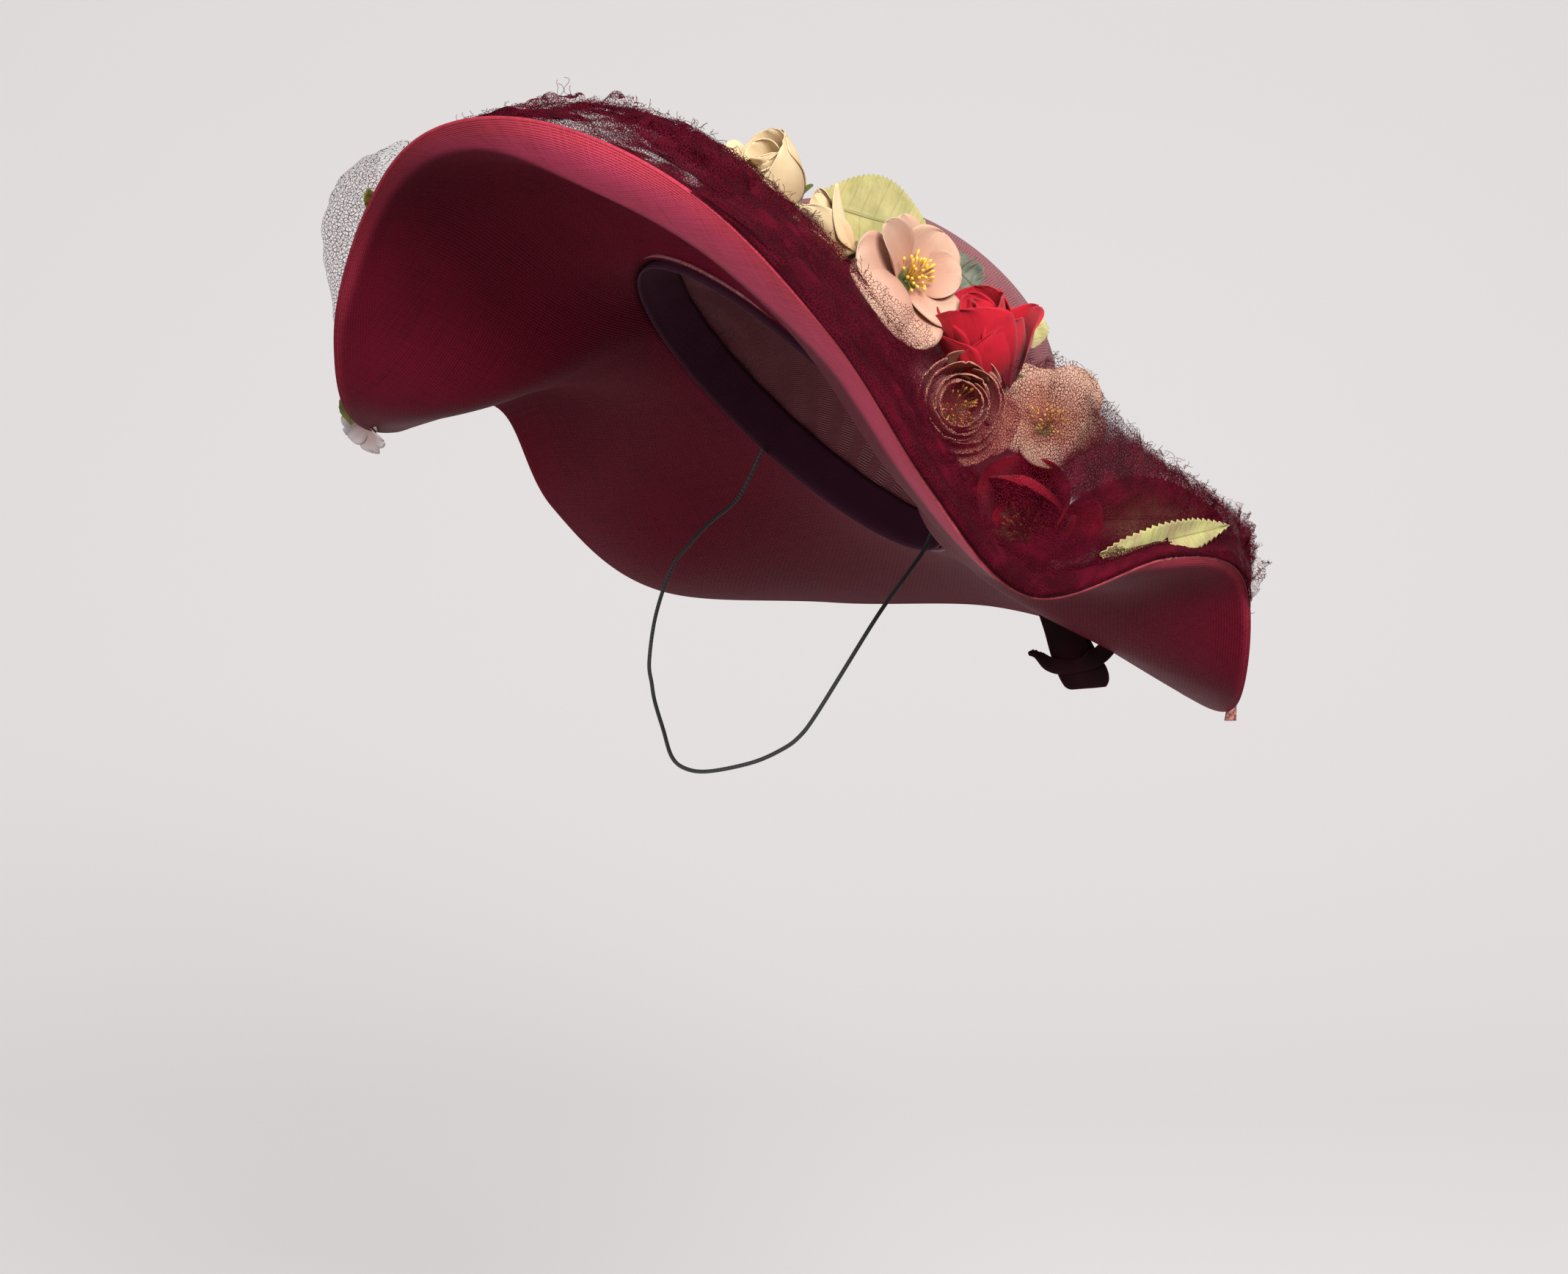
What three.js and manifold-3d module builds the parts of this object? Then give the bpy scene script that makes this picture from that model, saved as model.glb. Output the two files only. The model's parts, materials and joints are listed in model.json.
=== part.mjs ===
// Wide straw picture hat, worn tilted back: crown, wavy brim, head ribbon, silk flowers,
// leaves, gathered net, velvet bow at the back and a round chin elastic.
// Millimetres and degrees, +Z up, the wearer faces -Y. The origin is the middle of the
// head opening. Angles round the hat start at the front and run to the wearer's left.
import * as THREE from 'three';
import { mergeVertices } from 'three/addons/utils/BufferGeometryUtils.js';
import { ConvexGeometry } from 'three/addons/geometries/ConvexGeometry.js';
import Module from 'manifold-3d';

const wasm = await Module();
wasm.setup();

// Driving sizes
const tiltBack = 47;
const tiltSide = 3.5;
const openingHalfWide = 77;
const openingHalfLong = 94;
const strawThick = 1.5;
const clothThick = 1.2;
const netThick = 1;
const seatGap = 0.3;

const crown = { height: 107, power: 2.45, leanBack: 35, start: 1.4, around: 28, up: 7 };
const brim = { start: 0.01, around: 50, across: 7, rootPull: 0.36 };
const headRibbon = { low: -3, high: 18, inset: 0.5, around: 28 };
const elastic = { diameter: 1.8, steps: 44, sides: 6 };
const petal = { outerColumns: 3, innerColumns: 2, rows: 2, narrowest: 0.3, tipCut: 0.58, cup: 0.42 };
const heart = { flat: 0.8, depth: 9, around: 6, up: 4 };
const leaf = { teeth: 6, toothDepth: 0.12, fold: 0.12, point: 0.06 };
const leafFacing = { drop: 20, least: 10 };
const stem = { thick: 3, sides: 6, drop: 0.85, overrun: 1.5, atLeaf: 0.05 };

// The brim from the opening outwards, one section every 18 degrees: how far the edge
// reaches and how high it stands, and the slope of the straw at the root and at the edge.
const brimSections = [
  { angle: 0, reach: 218, lift: -41, root: 32, edge: -15 },
  { angle: 18, reach: 224, lift: -22, root: 37, edge: 38 },
  { angle: 36, reach: 223, lift: -19, root: 10, edge: 26 },
  { angle: 54, reach: 217, lift: -30, root: -21, edge: -1 },
  { angle: 72, reach: 209, lift: -46, root: -37, edge: -10 },
  { angle: 90, reach: 206, lift: -45, root: -40, edge: -5 },
  { angle: 108, reach: 195, lift: 18, root: -71, edge: 78 },
  { angle: 126, reach: 203, lift: 49, root: -57, edge: 59 },
  { angle: 144, reach: 230, lift: 24, root: -11, edge: 17 },
  { angle: 162, reach: 229, lift: 31, root: 18, edge: 14 },
  { angle: 180, reach: 224, lift: 47, root: 27, edge: 12 },
  { angle: 198, reach: 224, lift: 37, root: 20, edge: 13 },
  { angle: 216, reach: 222, lift: -6, root: 5, edge: 10 },
  { angle: 234, reach: 213, lift: -55, root: -14, edge: 0 },
  { angle: 252, reach: 211, lift: -60, root: -31, edge: -19 },
  { angle: 270, reach: 194, lift: -49, root: -45, edge: -43 },
  { angle: 288, reach: 167, lift: -100, root: -56, edge: -47 },
  { angle: 306, reach: 162, lift: -116, root: -81, edge: -26 },
  { angle: 324, reach: 174, lift: -100, root: -41, edge: -54 },
  { angle: 342, reach: 196, lift: -66, root: 6, edge: -71 },
];

// Petal rings of each kind of flower: length and width of a petal, its lean from the
// flower's axis at the base, how much further it curls to the tip, and how far from the
// axis it starts.
const flowerKinds = {
  rose: {
    heartRadius: 8,
    rings: [
      { petals: 2, length: 18, width: 19, lean: -4, curl: 14, base: 4 },
      { petals: 3, length: 22, width: 25, lean: 10, curl: 36, base: 5 },
      { petals: 4, length: 27, width: 28, lean: 36, curl: 48, base: 6 },
    ],
  },
  openRose: {
    heartRadius: 8,
    rings: [
      { petals: 3, length: 17, width: 20, lean: 22, curl: 10, base: 6 },
      { petals: 5, length: 28, width: 23, lean: 52, curl: 30, base: 6 },
    ],
  },
  blossom: {
    heartRadius: 6,
    rings: [{ petals: 5, length: 27, width: 22, lean: 48, curl: 34, base: 4 }],
  },
  ranunculus: {
    heartRadius: 8,
    rings: [
      { petals: 3, length: 12, width: 14, lean: 12, curl: -8, base: 6 },
      { petals: 4, length: 17, width: 20, lean: 32, curl: 4, base: 6 },
    ],
  },
  rosebud: {
    heartRadius: 7,
    rings: [
      { petals: 2, length: 26, width: 22, lean: -2, curl: 4, base: 4 },
      { petals: 2, length: 30, width: 30, lean: 6, curl: 22, base: 5 },
    ],
  },
  bud: {
    heartRadius: 8,
    rings: [{ petals: 3, length: 30, width: 26, lean: 2, curl: 16, base: 5 }],
  },
};

// Flowers in the hat's own frame: the middle of the flower, the way it faces (angle round
// the hat and rise above the brim's plane), its turn about that line and its size.
const flowers = [
  { name: 'red_rose', kind: 'rose', at: [88, -8, 57], faces: [66, 16], turn: 20, size: 1.05 },
  { name: 'pink_blossom', kind: 'blossom', at: [71, -46, 49], faces: [52, 6], turn: 10, size: 1.05 },
  { name: 'dark_red_rose', kind: 'openRose', at: [98, 53, 20], faces: [80, -4], turn: 5, size: 0.9 },
  { name: 'beige_blossom', kind: 'blossom', at: [96, 38, 56], faces: [86, 20], turn: 30, size: 0.85 },
  { name: 'beige_ranunculus', kind: 'ranunculus', at: [99, -9, 22], faces: [70, -8], turn: 0, size: 0.95 },
  { name: 'cream_rosebud', kind: 'rosebud', at: [2, -89, 57], faces: [330, 62], turn: 15, size: 1.15 },
  { name: 'cream_bud', kind: 'bud', at: [46, -80, 43], faces: [40, -22], turn: 40, size: 0.62 },
  { name: 'pale_blossom', kind: 'blossom', at: [-149, -69, -114], faces: [300, -10], turn: 0, size: 0.52 },
];

// Stamens stand in the middle of the open flowers.
const stamens = [
  { name: 'pink_stamens', flower: 'pink_blossom', radius: 4.5, height: 7 },
  { name: 'ranunculus_stamens', flower: 'beige_ranunculus', radius: 5.5, height: 5 },
  { name: 'dark_rose_stamens', flower: 'dark_red_rose', radius: 6, height: 6 },
];

// Leaves: root, tip and middle lift in the hat's frame, and the width across.
const leaves = [
  { name: 'green_leaf', root: [20, -75, 60], tip: [60, -40, 74], lift: 5, width: 26 },
  { name: 'grey_leaf', root: [68, -22, 72], tip: [46, -6, 97], lift: 4, width: 20 },
  { name: 'rose_leaf', root: [70, 18, 78], tip: [60, 36, 92], lift: 3, width: 12 },
  { name: 'beige_leaf', root: [109, 78, 30], tip: [158, 101, 49], lift: 8, width: 30 },
  { name: 'light_leaf', root: [190, 28, -5.5], tip: [165, 92, 55.5], lift: 2, width: 14 },
  { name: 'brown_leaf', root: [101, 20, 10], tip: [96, 52, -6], lift: 3, width: 14 },
  { name: 'front_leaf', root: [-71, -177.5, -61.5], tip: [-67, -189, -59], lift: 1, width: 8 },
  { name: 'far_leaf', root: [-127, -102, -111], tip: [-146, -78, -115.5], lift: 1, width: 9 },
];

// Pieces that stand away from the straw and reach the crown by a wired stem
const stemmed = [
  'dark_red_rose', 'cream_rosebud', 'cream_bud', 'green_leaf', 'grey_leaf', 'rose_leaf',
];

const clothColors = {
  red_rose: 0xb01733,
  pink_blossom: 0xe3a59a,
  dark_red_rose: 0x8c1234,
  beige_blossom: 0xc99a92,
  beige_ranunculus: 0xb98a84,
  cream_rosebud: 0xe8d3b4,
  cream_bud: 0xe6d2b6,
  pale_blossom: 0xd9bcb8,
  green_leaf: 0x9aa052,
  grey_leaf: 0x6f7a5c,
  rose_leaf: 0x8fa25e,
  beige_leaf: 0xb8a184,
  light_leaf: 0x9fae7a,
  brown_leaf: 0x6b4a36,
  front_leaf: 0x6d6a3c,
  far_leaf: 0x6d6a3c,
};

// Gathered net laid round the left side, from the front to the back: its foot stands on
// the brim at a share of the way to the edge, and its crest and inner edge lie at a
// distance from the hat's axis and a height over the brim's plane.
const netBandSections = [
  { angle: -16, foot: 0.95, crestOut: 199, crestUp: -37, innerOut: 175, innerUp: -15 },
  { angle: 2, foot: 0.95, crestOut: 203, crestUp: -3, innerOut: 166, innerUp: 7 },
  { angle: 20, foot: 0.92, crestOut: 195, crestUp: 15, innerOut: 150, innerUp: 22 },
  { angle: 38, foot: 0.9, crestOut: 180, crestUp: 17, innerOut: 146, innerUp: 18 },
  { angle: 56, foot: 0.88, crestOut: 168, crestUp: 13, innerOut: 140, innerUp: 11 },
  { angle: 74, foot: 0.88, crestOut: 167, crestUp: 10, innerOut: 142, innerUp: 12 },
  { angle: 90, foot: 0.92, crestOut: 172, crestUp: 24, innerOut: 146, innerUp: 36 },
  { angle: 104, foot: 0.95, crestOut: 164, crestUp: 46, innerOut: 138, innerUp: 54 },
  { angle: 118, foot: 0.97, crestOut: 162, crestUp: 62, innerOut: 134, innerUp: 62 },
  { angle: 132, foot: 0.97, crestOut: 174, crestUp: 64, innerOut: 146, innerUp: 54 },
  { angle: 146, foot: 0.97, crestOut: 206, crestUp: 36, innerOut: 182, innerUp: 33 },
];
const netBand = { around: 30, across: 3, folds: 9, foldDepth: 3 };

// A puff of the same net on the far side of the front
const netPuffSections = [
  { angle: 308, foot: 0.97, crestOut: 158, crestUp: -104, innerOut: 142, innerUp: -96 },
  { angle: 319, foot: 0.97, crestOut: 184, crestUp: -82, innerOut: 155, innerUp: -66 },
  { angle: 331, foot: 0.97, crestOut: 209, crestUp: -60, innerOut: 173, innerUp: -38 },
  { angle: 343, foot: 0.96, crestOut: 206, crestUp: -41, innerOut: 186, innerUp: -28 },
];
const netFootGap = 0.25;
const netPuff = { around: 12, across: 3, folds: 4, foldDepth: 1.5 };

// Velvet bow under the back brim, in a plane that stands upright. Across and down from
// the seat, with the half width of the ribbon at each place.
const bowSeat = [81.5, 88.5, -97.5];
const bowAngle = 52.5;
const bowPieces = [
  {
    name: 'velvet_strap',
    behind: 0,
    places: [
      { across: -3, down: -6, half: 10.5 },
      { across: 2, down: 10, half: 8 },
      { across: 6, down: 20, half: 7.5 },
      { across: 10, down: 28, half: 7 },
    ],
  },
  {
    name: 'velvet_tail',
    behind: -1.55,
    places: [
      { across: -17, down: 12, half: 0.6 },
      { across: -9, down: 16, half: 4 },
      { across: 2, down: 17, half: 5 },
      { across: 12, down: 13, half: 4.5 },
      { across: 20, down: 10, half: 4 },
    ],
  },
];

// The elastic's middle line, from the wearer's left ear side down under the chin; the
// hidden right half mirrors it.
const elasticRoute = [
  [62.6, 28.3, -41.2],
  [66, 19, -53],
  [69, 6, -63],
  [70.4, -5, -72],
  [71, -15, -82],
  [67, -27, -101],
  [60, -36, -120],
  [54, -39, -129],
  [47, -42.3, -135.5],
  [33, -48, -143.8],
  [14, -57, -150.6],
  [0, -59.5, -152.3],
];
const elasticFarEnd = [-63.5, 31, -31.5];

const material = (color, roughness, metalness = 0) =>
  new THREE.MeshStandardMaterial({ color, roughness, metalness, side: THREE.DoubleSide });
const straw = material(0x8c2f4d, 0.6);
const crownStraw = material(0x8c5055, 0.65);
const netting = material(0x5a1f38, 0.9);
const velvet = material(0x1d060f, 0.95);
const rubber = material(0x0c0c0e, 0.6);

const radians = THREE.MathUtils.degToRad;
const sine = (angle) => Math.sin(radians(angle));
const cosine = (angle) => Math.cos(radians(angle));

// Closed meshes

// Welds points that coincide, drops flat triangles and turns the faces outwards.
function closedGeometry(points, faces) {
  const labels = new Map();
  const kept = [];
  const index = points.map((point) => {
    const label = point.toArray().map((value) => Math.round(value * 1e4)).join();
    if (!labels.has(label)) {
      labels.set(label, kept.length);
      kept.push(point);
    }
    return labels.get(label);
  });
  const solid = faces
    .map((face) => face.map((corner) => index[corner]))
    .filter(([a, b, c]) => a !== b && b !== c && a !== c);
  const volume = solid.reduce((sum, [a, b, c]) =>
    sum + kept[a].dot(new THREE.Vector3().crossVectors(kept[b], kept[c])), 0);
  const turned = volume < 0 ? solid.map(([a, b, c]) => [a, c, b]) : solid;
  const geometry = new THREE.BufferGeometry();
  geometry.setAttribute('position',
    new THREE.Float32BufferAttribute(kept.flatMap((point) => point.toArray()), 3));
  geometry.setIndex(turned.flat());
  return geometry;
}

// A wall of even thickness about a surface of u and v, each from 0 to 1. With wraps the
// first and last column are the same line.
function thickSheet(surface, columns, rows, thickness, wraps = false) {
  const step = 2e-3;
  const inside = (value) => Math.min(Math.max(value, step * 3), 1 - step * 3);
  const normalAt = (u, v) => {
    const across = wraps ? u : inside(u);
    const along = inside(v);
    const du = surface(across + step, along).sub(surface(across - step, along));
    const dv = surface(across, along + step).sub(surface(across, along - step));
    return du.cross(dv).normalize();
  };
  const points = [];
  for (const side of [0.5, -0.5]) {
    for (let row = 0; row <= rows; row++) {
      for (let column = 0; column <= columns; column++) {
        const u = wraps ? (column % columns) / columns : column / columns;
        const v = row / rows;
        points.push(surface(u, v).addScaledVector(normalAt(u, v), side * thickness));
      }
    }
  }
  const layer = (columns + 1) * (rows + 1);
  const at = (side, row, column) => side * layer + row * (columns + 1) + column;
  const faces = [];
  const quad = (a, b, c, d) => faces.push([a, b, c], [a, c, d]);
  for (let row = 0; row < rows; row++) {
    for (let column = 0; column < columns; column++) {
      quad(at(0, row, column), at(0, row, column + 1), at(0, row + 1, column + 1), at(0, row + 1, column));
      quad(at(1, row, column), at(1, row + 1, column), at(1, row + 1, column + 1), at(1, row, column + 1));
    }
  }
  for (let column = 0; column < columns; column++) {
    quad(at(0, 0, column), at(1, 0, column), at(1, 0, column + 1), at(0, 0, column + 1));
    quad(at(0, rows, column), at(0, rows, column + 1), at(1, rows, column + 1), at(1, rows, column));
  }
  if (!wraps) {
    for (let row = 0; row < rows; row++) {
      quad(at(0, row, 0), at(0, row + 1, 0), at(1, row + 1, 0), at(1, row, 0));
      quad(at(0, row, columns), at(1, row, columns), at(1, row + 1, columns), at(0, row + 1, columns));
    }
  }
  return closedGeometry(points, faces);
}

// Solids to cut and join
function solidOf(geometry) {
  const bare = geometry.clone();
  bare.deleteAttribute('normal');
  bare.deleteAttribute('uv');
  const merged = mergeVertices(bare, 1e-4);
  return new wasm.Manifold(new wasm.Mesh({
    numProp: 3,
    vertProperties: new Float32Array(merged.attributes.position.array),
    triVerts: new Uint32Array(merged.index.array),
  }));
}

function geometryOf(solid) {
  const mesh = solid.getMesh();
  const geometry = new THREE.BufferGeometry();
  geometry.setAttribute('position', new THREE.BufferAttribute(mesh.vertProperties, 3));
  geometry.setIndex(new THREE.BufferAttribute(mesh.triVerts, 1));
  return geometry;
}

const largest = (solid) =>
  solid.decompose().sort((a, b) => b.volume() - a.volume())[0];

// The outer hull of a piece, pushed outwards so that its neighbours stay clear of it.
function clearanceHull(geometry, clearance) {
  const position = geometry.attributes.position;
  const corners = Array.from({ length: position.count }, (_, i) =>
    new THREE.Vector3().fromBufferAttribute(position, i));
  const middle = corners.reduce((sum, point) => sum.add(point), new THREE.Vector3())
    .divideScalar(corners.length);
  const pushed = corners.map((point) => {
    const away = point.clone().sub(middle);
    return point.clone().addScaledVector(away.normalize(), clearance);
  });
  return solidOf(new ConvexGeometry(pushed));
}

// The hat's surfaces

const openingRadius = (angle) =>
  1 / Math.hypot(sine(angle) / openingHalfWide, cosine(angle) / openingHalfLong);
const hatPoint = (angle, radius, height) =>
  new THREE.Vector3(radius * sine(angle), -radius * cosine(angle), height);

// Smooth closed curve through evenly spaced rows of a table
function around(rows, column, angle) {
  const count = rows.length;
  const place = THREE.MathUtils.euclideanModulo((angle / 360) * count, count);
  const first = Math.floor(place);
  const t = place - first;
  const [a, b, c, d] = [-1, 0, 1, 2].map((step) => rows[(first + step + count) % count][column]);
  return b + 0.5 * t * (c - a + t * (2 * a - 5 * b + 4 * c - d + t * (3 * (b - c) + d - a)));
}

// Smooth open curve through rows of a table, by share from the first row to the last
function along(rows, column, share) {
  const place = Math.min(Math.max(share, 0), 1) * (rows.length - 1);
  const first = Math.min(Math.floor(place), rows.length - 2);
  const t = place - first;
  const value = (i) => rows[Math.min(Math.max(i, 0), rows.length - 1)][column];
  const [a, b, c, d] = [-1, 0, 1, 2].map((step) => value(first + step));
  return b + 0.5 * t * (c - a + t * (2 * a - 5 * b + 4 * c - d + t * (3 * (b - c) + d - a)));
}

// The middle of the brim's straw: a cubic curve from the opening to the edge
function brimPoint(angle, share) {
  const start = openingRadius(angle);
  const reach = around(brimSections, 'reach', angle);
  const lift = around(brimSections, 'lift', angle);
  const root = around(brimSections, 'root', angle);
  const edge = around(brimSections, 'edge', angle);
  const pull = brim.rootPull * Math.hypot(reach - start, lift);
  const curve = new THREE.CubicBezierCurve(
    new THREE.Vector2(start, 0),
    new THREE.Vector2(start + pull * cosine(root), pull * sine(root)),
    new THREE.Vector2(reach - pull * cosine(edge), lift - pull * sine(edge)),
    new THREE.Vector2(reach, lift),
  );
  const place = curve.getPoint(share);
  return hatPoint(angle, place.x, place.y);
}

// A place at a height over the brim's upper face
function overBrim(angle, share, height) {
  const step = 0.5;
  const reach = 0.01;
  const low = Math.min(Math.max(share, reach), 1 - reach);
  const round = brimPoint(angle + step, low).sub(brimPoint(angle - step, low));
  const out = brimPoint(angle, low + reach).sub(brimPoint(angle, low - reach));
  const up = round.cross(out).normalize().negate();
  return brimPoint(angle, share).addScaledVector(up, height);
}

// The middle of the crown's straw: rings of the opening's shape that draw in to the top
// and slide back as they rise
function crownPoint(angle, height, outset = 0) {
  const rise = THREE.MathUtils.clamp(height / crown.height, 0, 1);
  const shrink = Math.max(1 - rise ** crown.power, 0) ** (1 / crown.power);
  const point = hatPoint(angle, openingRadius(angle) * shrink + outset, height);
  point.y += crown.leanBack * rise;
  return point;
}

const crownHeightAt = (share) =>
  crown.start + (crown.height - crown.start) * Math.sin(share * Math.PI / 2) ** 1.1;

const crownWall = () => thickSheet(
  (u, v) => crownPoint(u * 360, crownHeightAt(v)), crown.around, crown.up, strawThick, true);

// The crown filled in and grown by the gap, which cuts what leans on it from outside
function crownPlug() {
  const rings = crown.up + 1;
  const grown = strawThick / 2 + seatGap;
  const points = [];
  for (let ring = 0; ring <= rings; ring++) {
    const height = ring === 0 ? -0.5 : crownHeightAt((ring - 1) / crown.up);
    for (let column = 0; column < crown.around; column++) {
      const angle = column * 360 / crown.around;
      const outset = ring === rings ? 0 : grown * 1.02;
      const lifted = ring < 2 ? 0 : grown * (ring - 1) / crown.up;
      const point = crownPoint(angle, height, outset);
      point.z += lifted;
      points.push(point);
    }
  }
  points.push(new THREE.Vector3(0, 0, -0.5));
  const faces = [];
  for (let ring = 0; ring < rings; ring++) {
    for (let column = 0; column < crown.around; column++) {
      const next = (column + 1) % crown.around;
      const [a, b] = [ring * crown.around + column, ring * crown.around + next];
      const [c, d] = [a + crown.around, b + crown.around];
      faces.push([a, b, d], [a, d, c]);
      if (ring === 0) faces.push([points.length - 1, b, a]);
    }
  }
  return solidOf(closedGeometry(points, faces));
}

// The overrun is a share of the brim's width, added at the edge
const brimWall = (thickness, overrun = 0) => thickSheet(
  (u, v) => brimPoint(u * 360, brim.start + (1 - brim.start + overrun) * v),
  brim.around, brim.across, thickness, true);

// The ribbon inside the opening stands on the crown's inner face
function headRibbonWall() {
  const inset = strawThick / 2 + seatGap + clothThick / 2 + headRibbon.inset;
  return thickSheet((u, v) => {
    const height = headRibbon.low + (headRibbon.high - headRibbon.low) * v;
    return crownPoint(u * 360, Math.max(height, 0), -inset).setZ(height);
  }, headRibbon.around, 1, clothThick, true);
}

// Flowers

// A petal about the flower's axis, +Z: it climbs from its base and rolls outwards, and
// bends round the axis across its width.
function petalSheet(ring, turn, size, columns) {
  const slices = 8;
  const spin = new THREE.Matrix4().makeRotationZ(radians(turn));
  return thickSheet((u, v) => {
    let out = ring.base * size;
    let up = 0;
    for (let slice = 0; slice < slices; slice++) {
      const part = v * (slice + 0.5) / slices;
      const slope = ring.lean + ring.curl * part * part;
      out += size * ring.length * v / slices * sine(slope);
      up += size * ring.length * v / slices * cosine(slope);
    }
    const opened = Math.sin(Math.min(v * 1.8, 1) * Math.PI / 2);
    const swell = petal.narrowest + (1 - petal.narrowest) * opened;
    const half = 0.5 * size * ring.width * swell * (1 - petal.tipCut * v ** 4);
    const bend = Math.max(out, petal.cup * size * ring.width);
    const side = (2 * u - 1) * half / bend;
    return new THREE.Vector3(out - bend + bend * Math.cos(side), bend * Math.sin(side), up)
      .applyMatrix4(spin);
  }, columns, petal.rows, clothThick);
}

function flowerSolid(flower) {
  const ringShift = 0.45;
  const { rings, heartRadius } = flowerKinds[flower.kind];
  const core = new THREE.SphereGeometry(heartRadius * flower.size, heart.around, heart.up);
  core.rotateX(Math.PI / 2);
  core.scale(1, 1, heart.flat);
  let solid = solidOf(core);
  rings.forEach((ring, layer) => {
    const columns = layer < rings.length - 1 ? petal.innerColumns : petal.outerColumns;
    for (let count = 0; count < ring.petals; count++) {
      const turn = 360 * (count + layer * ringShift) / ring.petals;
      solid = solid.add(solidOf(petalSheet(ring, turn, flower.size, columns)));
    }
  });
  return solid.transform(flowerPlace(flower).elements);
}

// Stands the flower's axis along the way it faces
function flowerPlace(flower) {
  const [round, rise] = flower.faces;
  const axis = new THREE.Vector3(cosine(rise) * sine(round), -cosine(rise) * cosine(round), sine(rise));
  const stand = new THREE.Quaternion().setFromUnitVectors(new THREE.Vector3(0, 0, 1), axis);
  const spin = new THREE.Quaternion().setFromAxisAngle(axis, radians(flower.turn));
  const depth = heart.depth * flower.size;
  const middle = new THREE.Vector3(...flower.at).addScaledVector(axis, -depth);
  return new THREE.Matrix4().compose(middle, spin.multiply(stand), new THREE.Vector3(1, 1, 1));
}

function stamenSolid({ flower, radius, height }) {
  const owner = flowers.find(({ name }) => name === flower);
  const dome = new THREE.SphereGeometry(radius, 8, 5);
  dome.rotateX(Math.PI / 2);
  dome.scale(1, 1, height / radius);
  const heartTop = flowerKinds[owner.kind].heartRadius * owner.size * heart.flat;
  dome.translate(0, 0, heartTop + height * 0.6);
  return solidOf(dome).transform(flowerPlace(owner).elements);
}

// A pointed leaf with a toothed outline, folded a little along its middle vein
function leafSheet({ root, tip, lift, width }) {
  const start = new THREE.Vector3(...root);
  const end = new THREE.Vector3(...tip);
  const run = end.clone().sub(start);
  const middle = start.clone().add(end).multiplyScalar(0.5);
  const out = middle.clone().setZ(Math.max(middle.z - leafFacing.drop, leafFacing.least)).normalize();
  const across = run.clone().cross(out).normalize();
  const up = across.clone().cross(run).normalize();
  return thickSheet((u, v) => {
    const side = 2 * u - 1;
    const tooth = 1 - leaf.toothDepth * Math.abs(Math.sin(v * leaf.teeth * Math.PI / 2));
    const grown = Math.sin(Math.PI * THREE.MathUtils.lerp(leaf.point, 1, v));
    const half = 0.5 * width * Math.max(grown, 0) ** 0.8 * tooth;
    const arch = lift * Math.sin(v * Math.PI) + leaf.fold * width * Math.abs(side);
    return start.clone().addScaledVector(run, v).addScaledVector(across, side * half)
      .addScaledVector(up, arch);
  }, 2, leaf.teeth, netThick);
}

// A wired stem from a flower or leaf into the crown's middle; the crown cuts it short
function stemSolid(from) {
  const foot = new THREE.Vector3(0, crown.leanBack * from.z / crown.height, from.z * stem.drop);
  const inwards = foot.clone().sub(from).normalize();
  const start = from.clone().addScaledVector(inwards, -stem.overrun);
  const length = foot.distanceTo(start);
  const rod = new THREE.CylinderGeometry(stem.thick / 2, stem.thick / 2, length, stem.sides);
  const turn = new THREE.Quaternion().setFromUnitVectors(new THREE.Vector3(0, 1, 0), inwards);
  rod.applyMatrix4(new THREE.Matrix4()
    .compose(start.addScaledVector(inwards, length / 2), turn, new THREE.Vector3(1, 1, 1)));
  return solidOf(rod);
}

// Gathered net over the brim: an arch from its foot over the crest to its inner edge,
// with folds that run across it
function netSheet(sections, { around: columns, across: rows, folds, foldDepth }) {
  const foot = (strawThick + netThick) / 2 + seatGap + netFootGap;
  return thickSheet((u, v) => {
    const section = (column) => along(sections, column, u);
    const angle = section('angle');
    const ends = [
      overBrim(angle, section('foot'), foot),
      hatPoint(angle, section('crestOut'), section('crestUp')),
      hatPoint(angle, section('innerOut'), section('innerUp')),
    ];
    const [a, b, c] = [(1 - v) * (1 - 2 * v), 4 * v * (1 - v), v * (2 * v - 1)];
    const point = new THREE.Vector3().addScaledVector(ends[0], a)
      .addScaledVector(ends[1], b).addScaledVector(ends[2], c);
    const fold = foldDepth * Math.sin(u * folds * Math.PI * 2) * Math.sin(Math.PI * v * 0.5);
    return point.addScaledVector(point.clone().setZ(0).normalize(), fold);
  }, columns, rows, netThick);
}

// A flat run of velvet, standing in the bow's plane
function bowSheet({ behind, places }) {
  const right = new THREE.Vector3(cosine(bowAngle), sine(bowAngle), 0);
  const back = new THREE.Vector3(-sine(bowAngle), cosine(bowAngle), 0);
  const placeAt = (share) => new THREE.Vector3(...bowSeat)
    .addScaledVector(right, along(places, 'across', share))
    .addScaledVector(back, behind)
    .setZ(bowSeat[2] - along(places, 'down', share));
  return thickSheet((u, v) => {
    const step = 0.02;
    const forward = placeAt(v + step).sub(placeAt(v - step)).normalize();
    const side = forward.cross(back).normalize();
    return placeAt(v).addScaledVector(side, (2 * u - 1) * along(places, 'half', v));
  }, 2, 8, clothThick);
}

function elasticTube() {
  const near = elasticRoute.map((place) => new THREE.Vector3(...place));
  const mirrored = near.slice(1, -1).reverse().map((point) =>
    new THREE.Vector3(-point.x, point.y, point.z));
  const path = new THREE.CatmullRomCurve3(
    [...near, ...mirrored, new THREE.Vector3(...elasticFarEnd)], false, 'centripetal');
  const section = new THREE.Shape().absarc(0, 0, elastic.diameter / 2, 0, Math.PI * 2);
  return new THREE.ExtrudeGeometry(section, {
    extrudePath: path, steps: elastic.steps, curveSegments: elastic.sides / 2, bevelEnabled: false,
  });
}

// The hat put together

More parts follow.
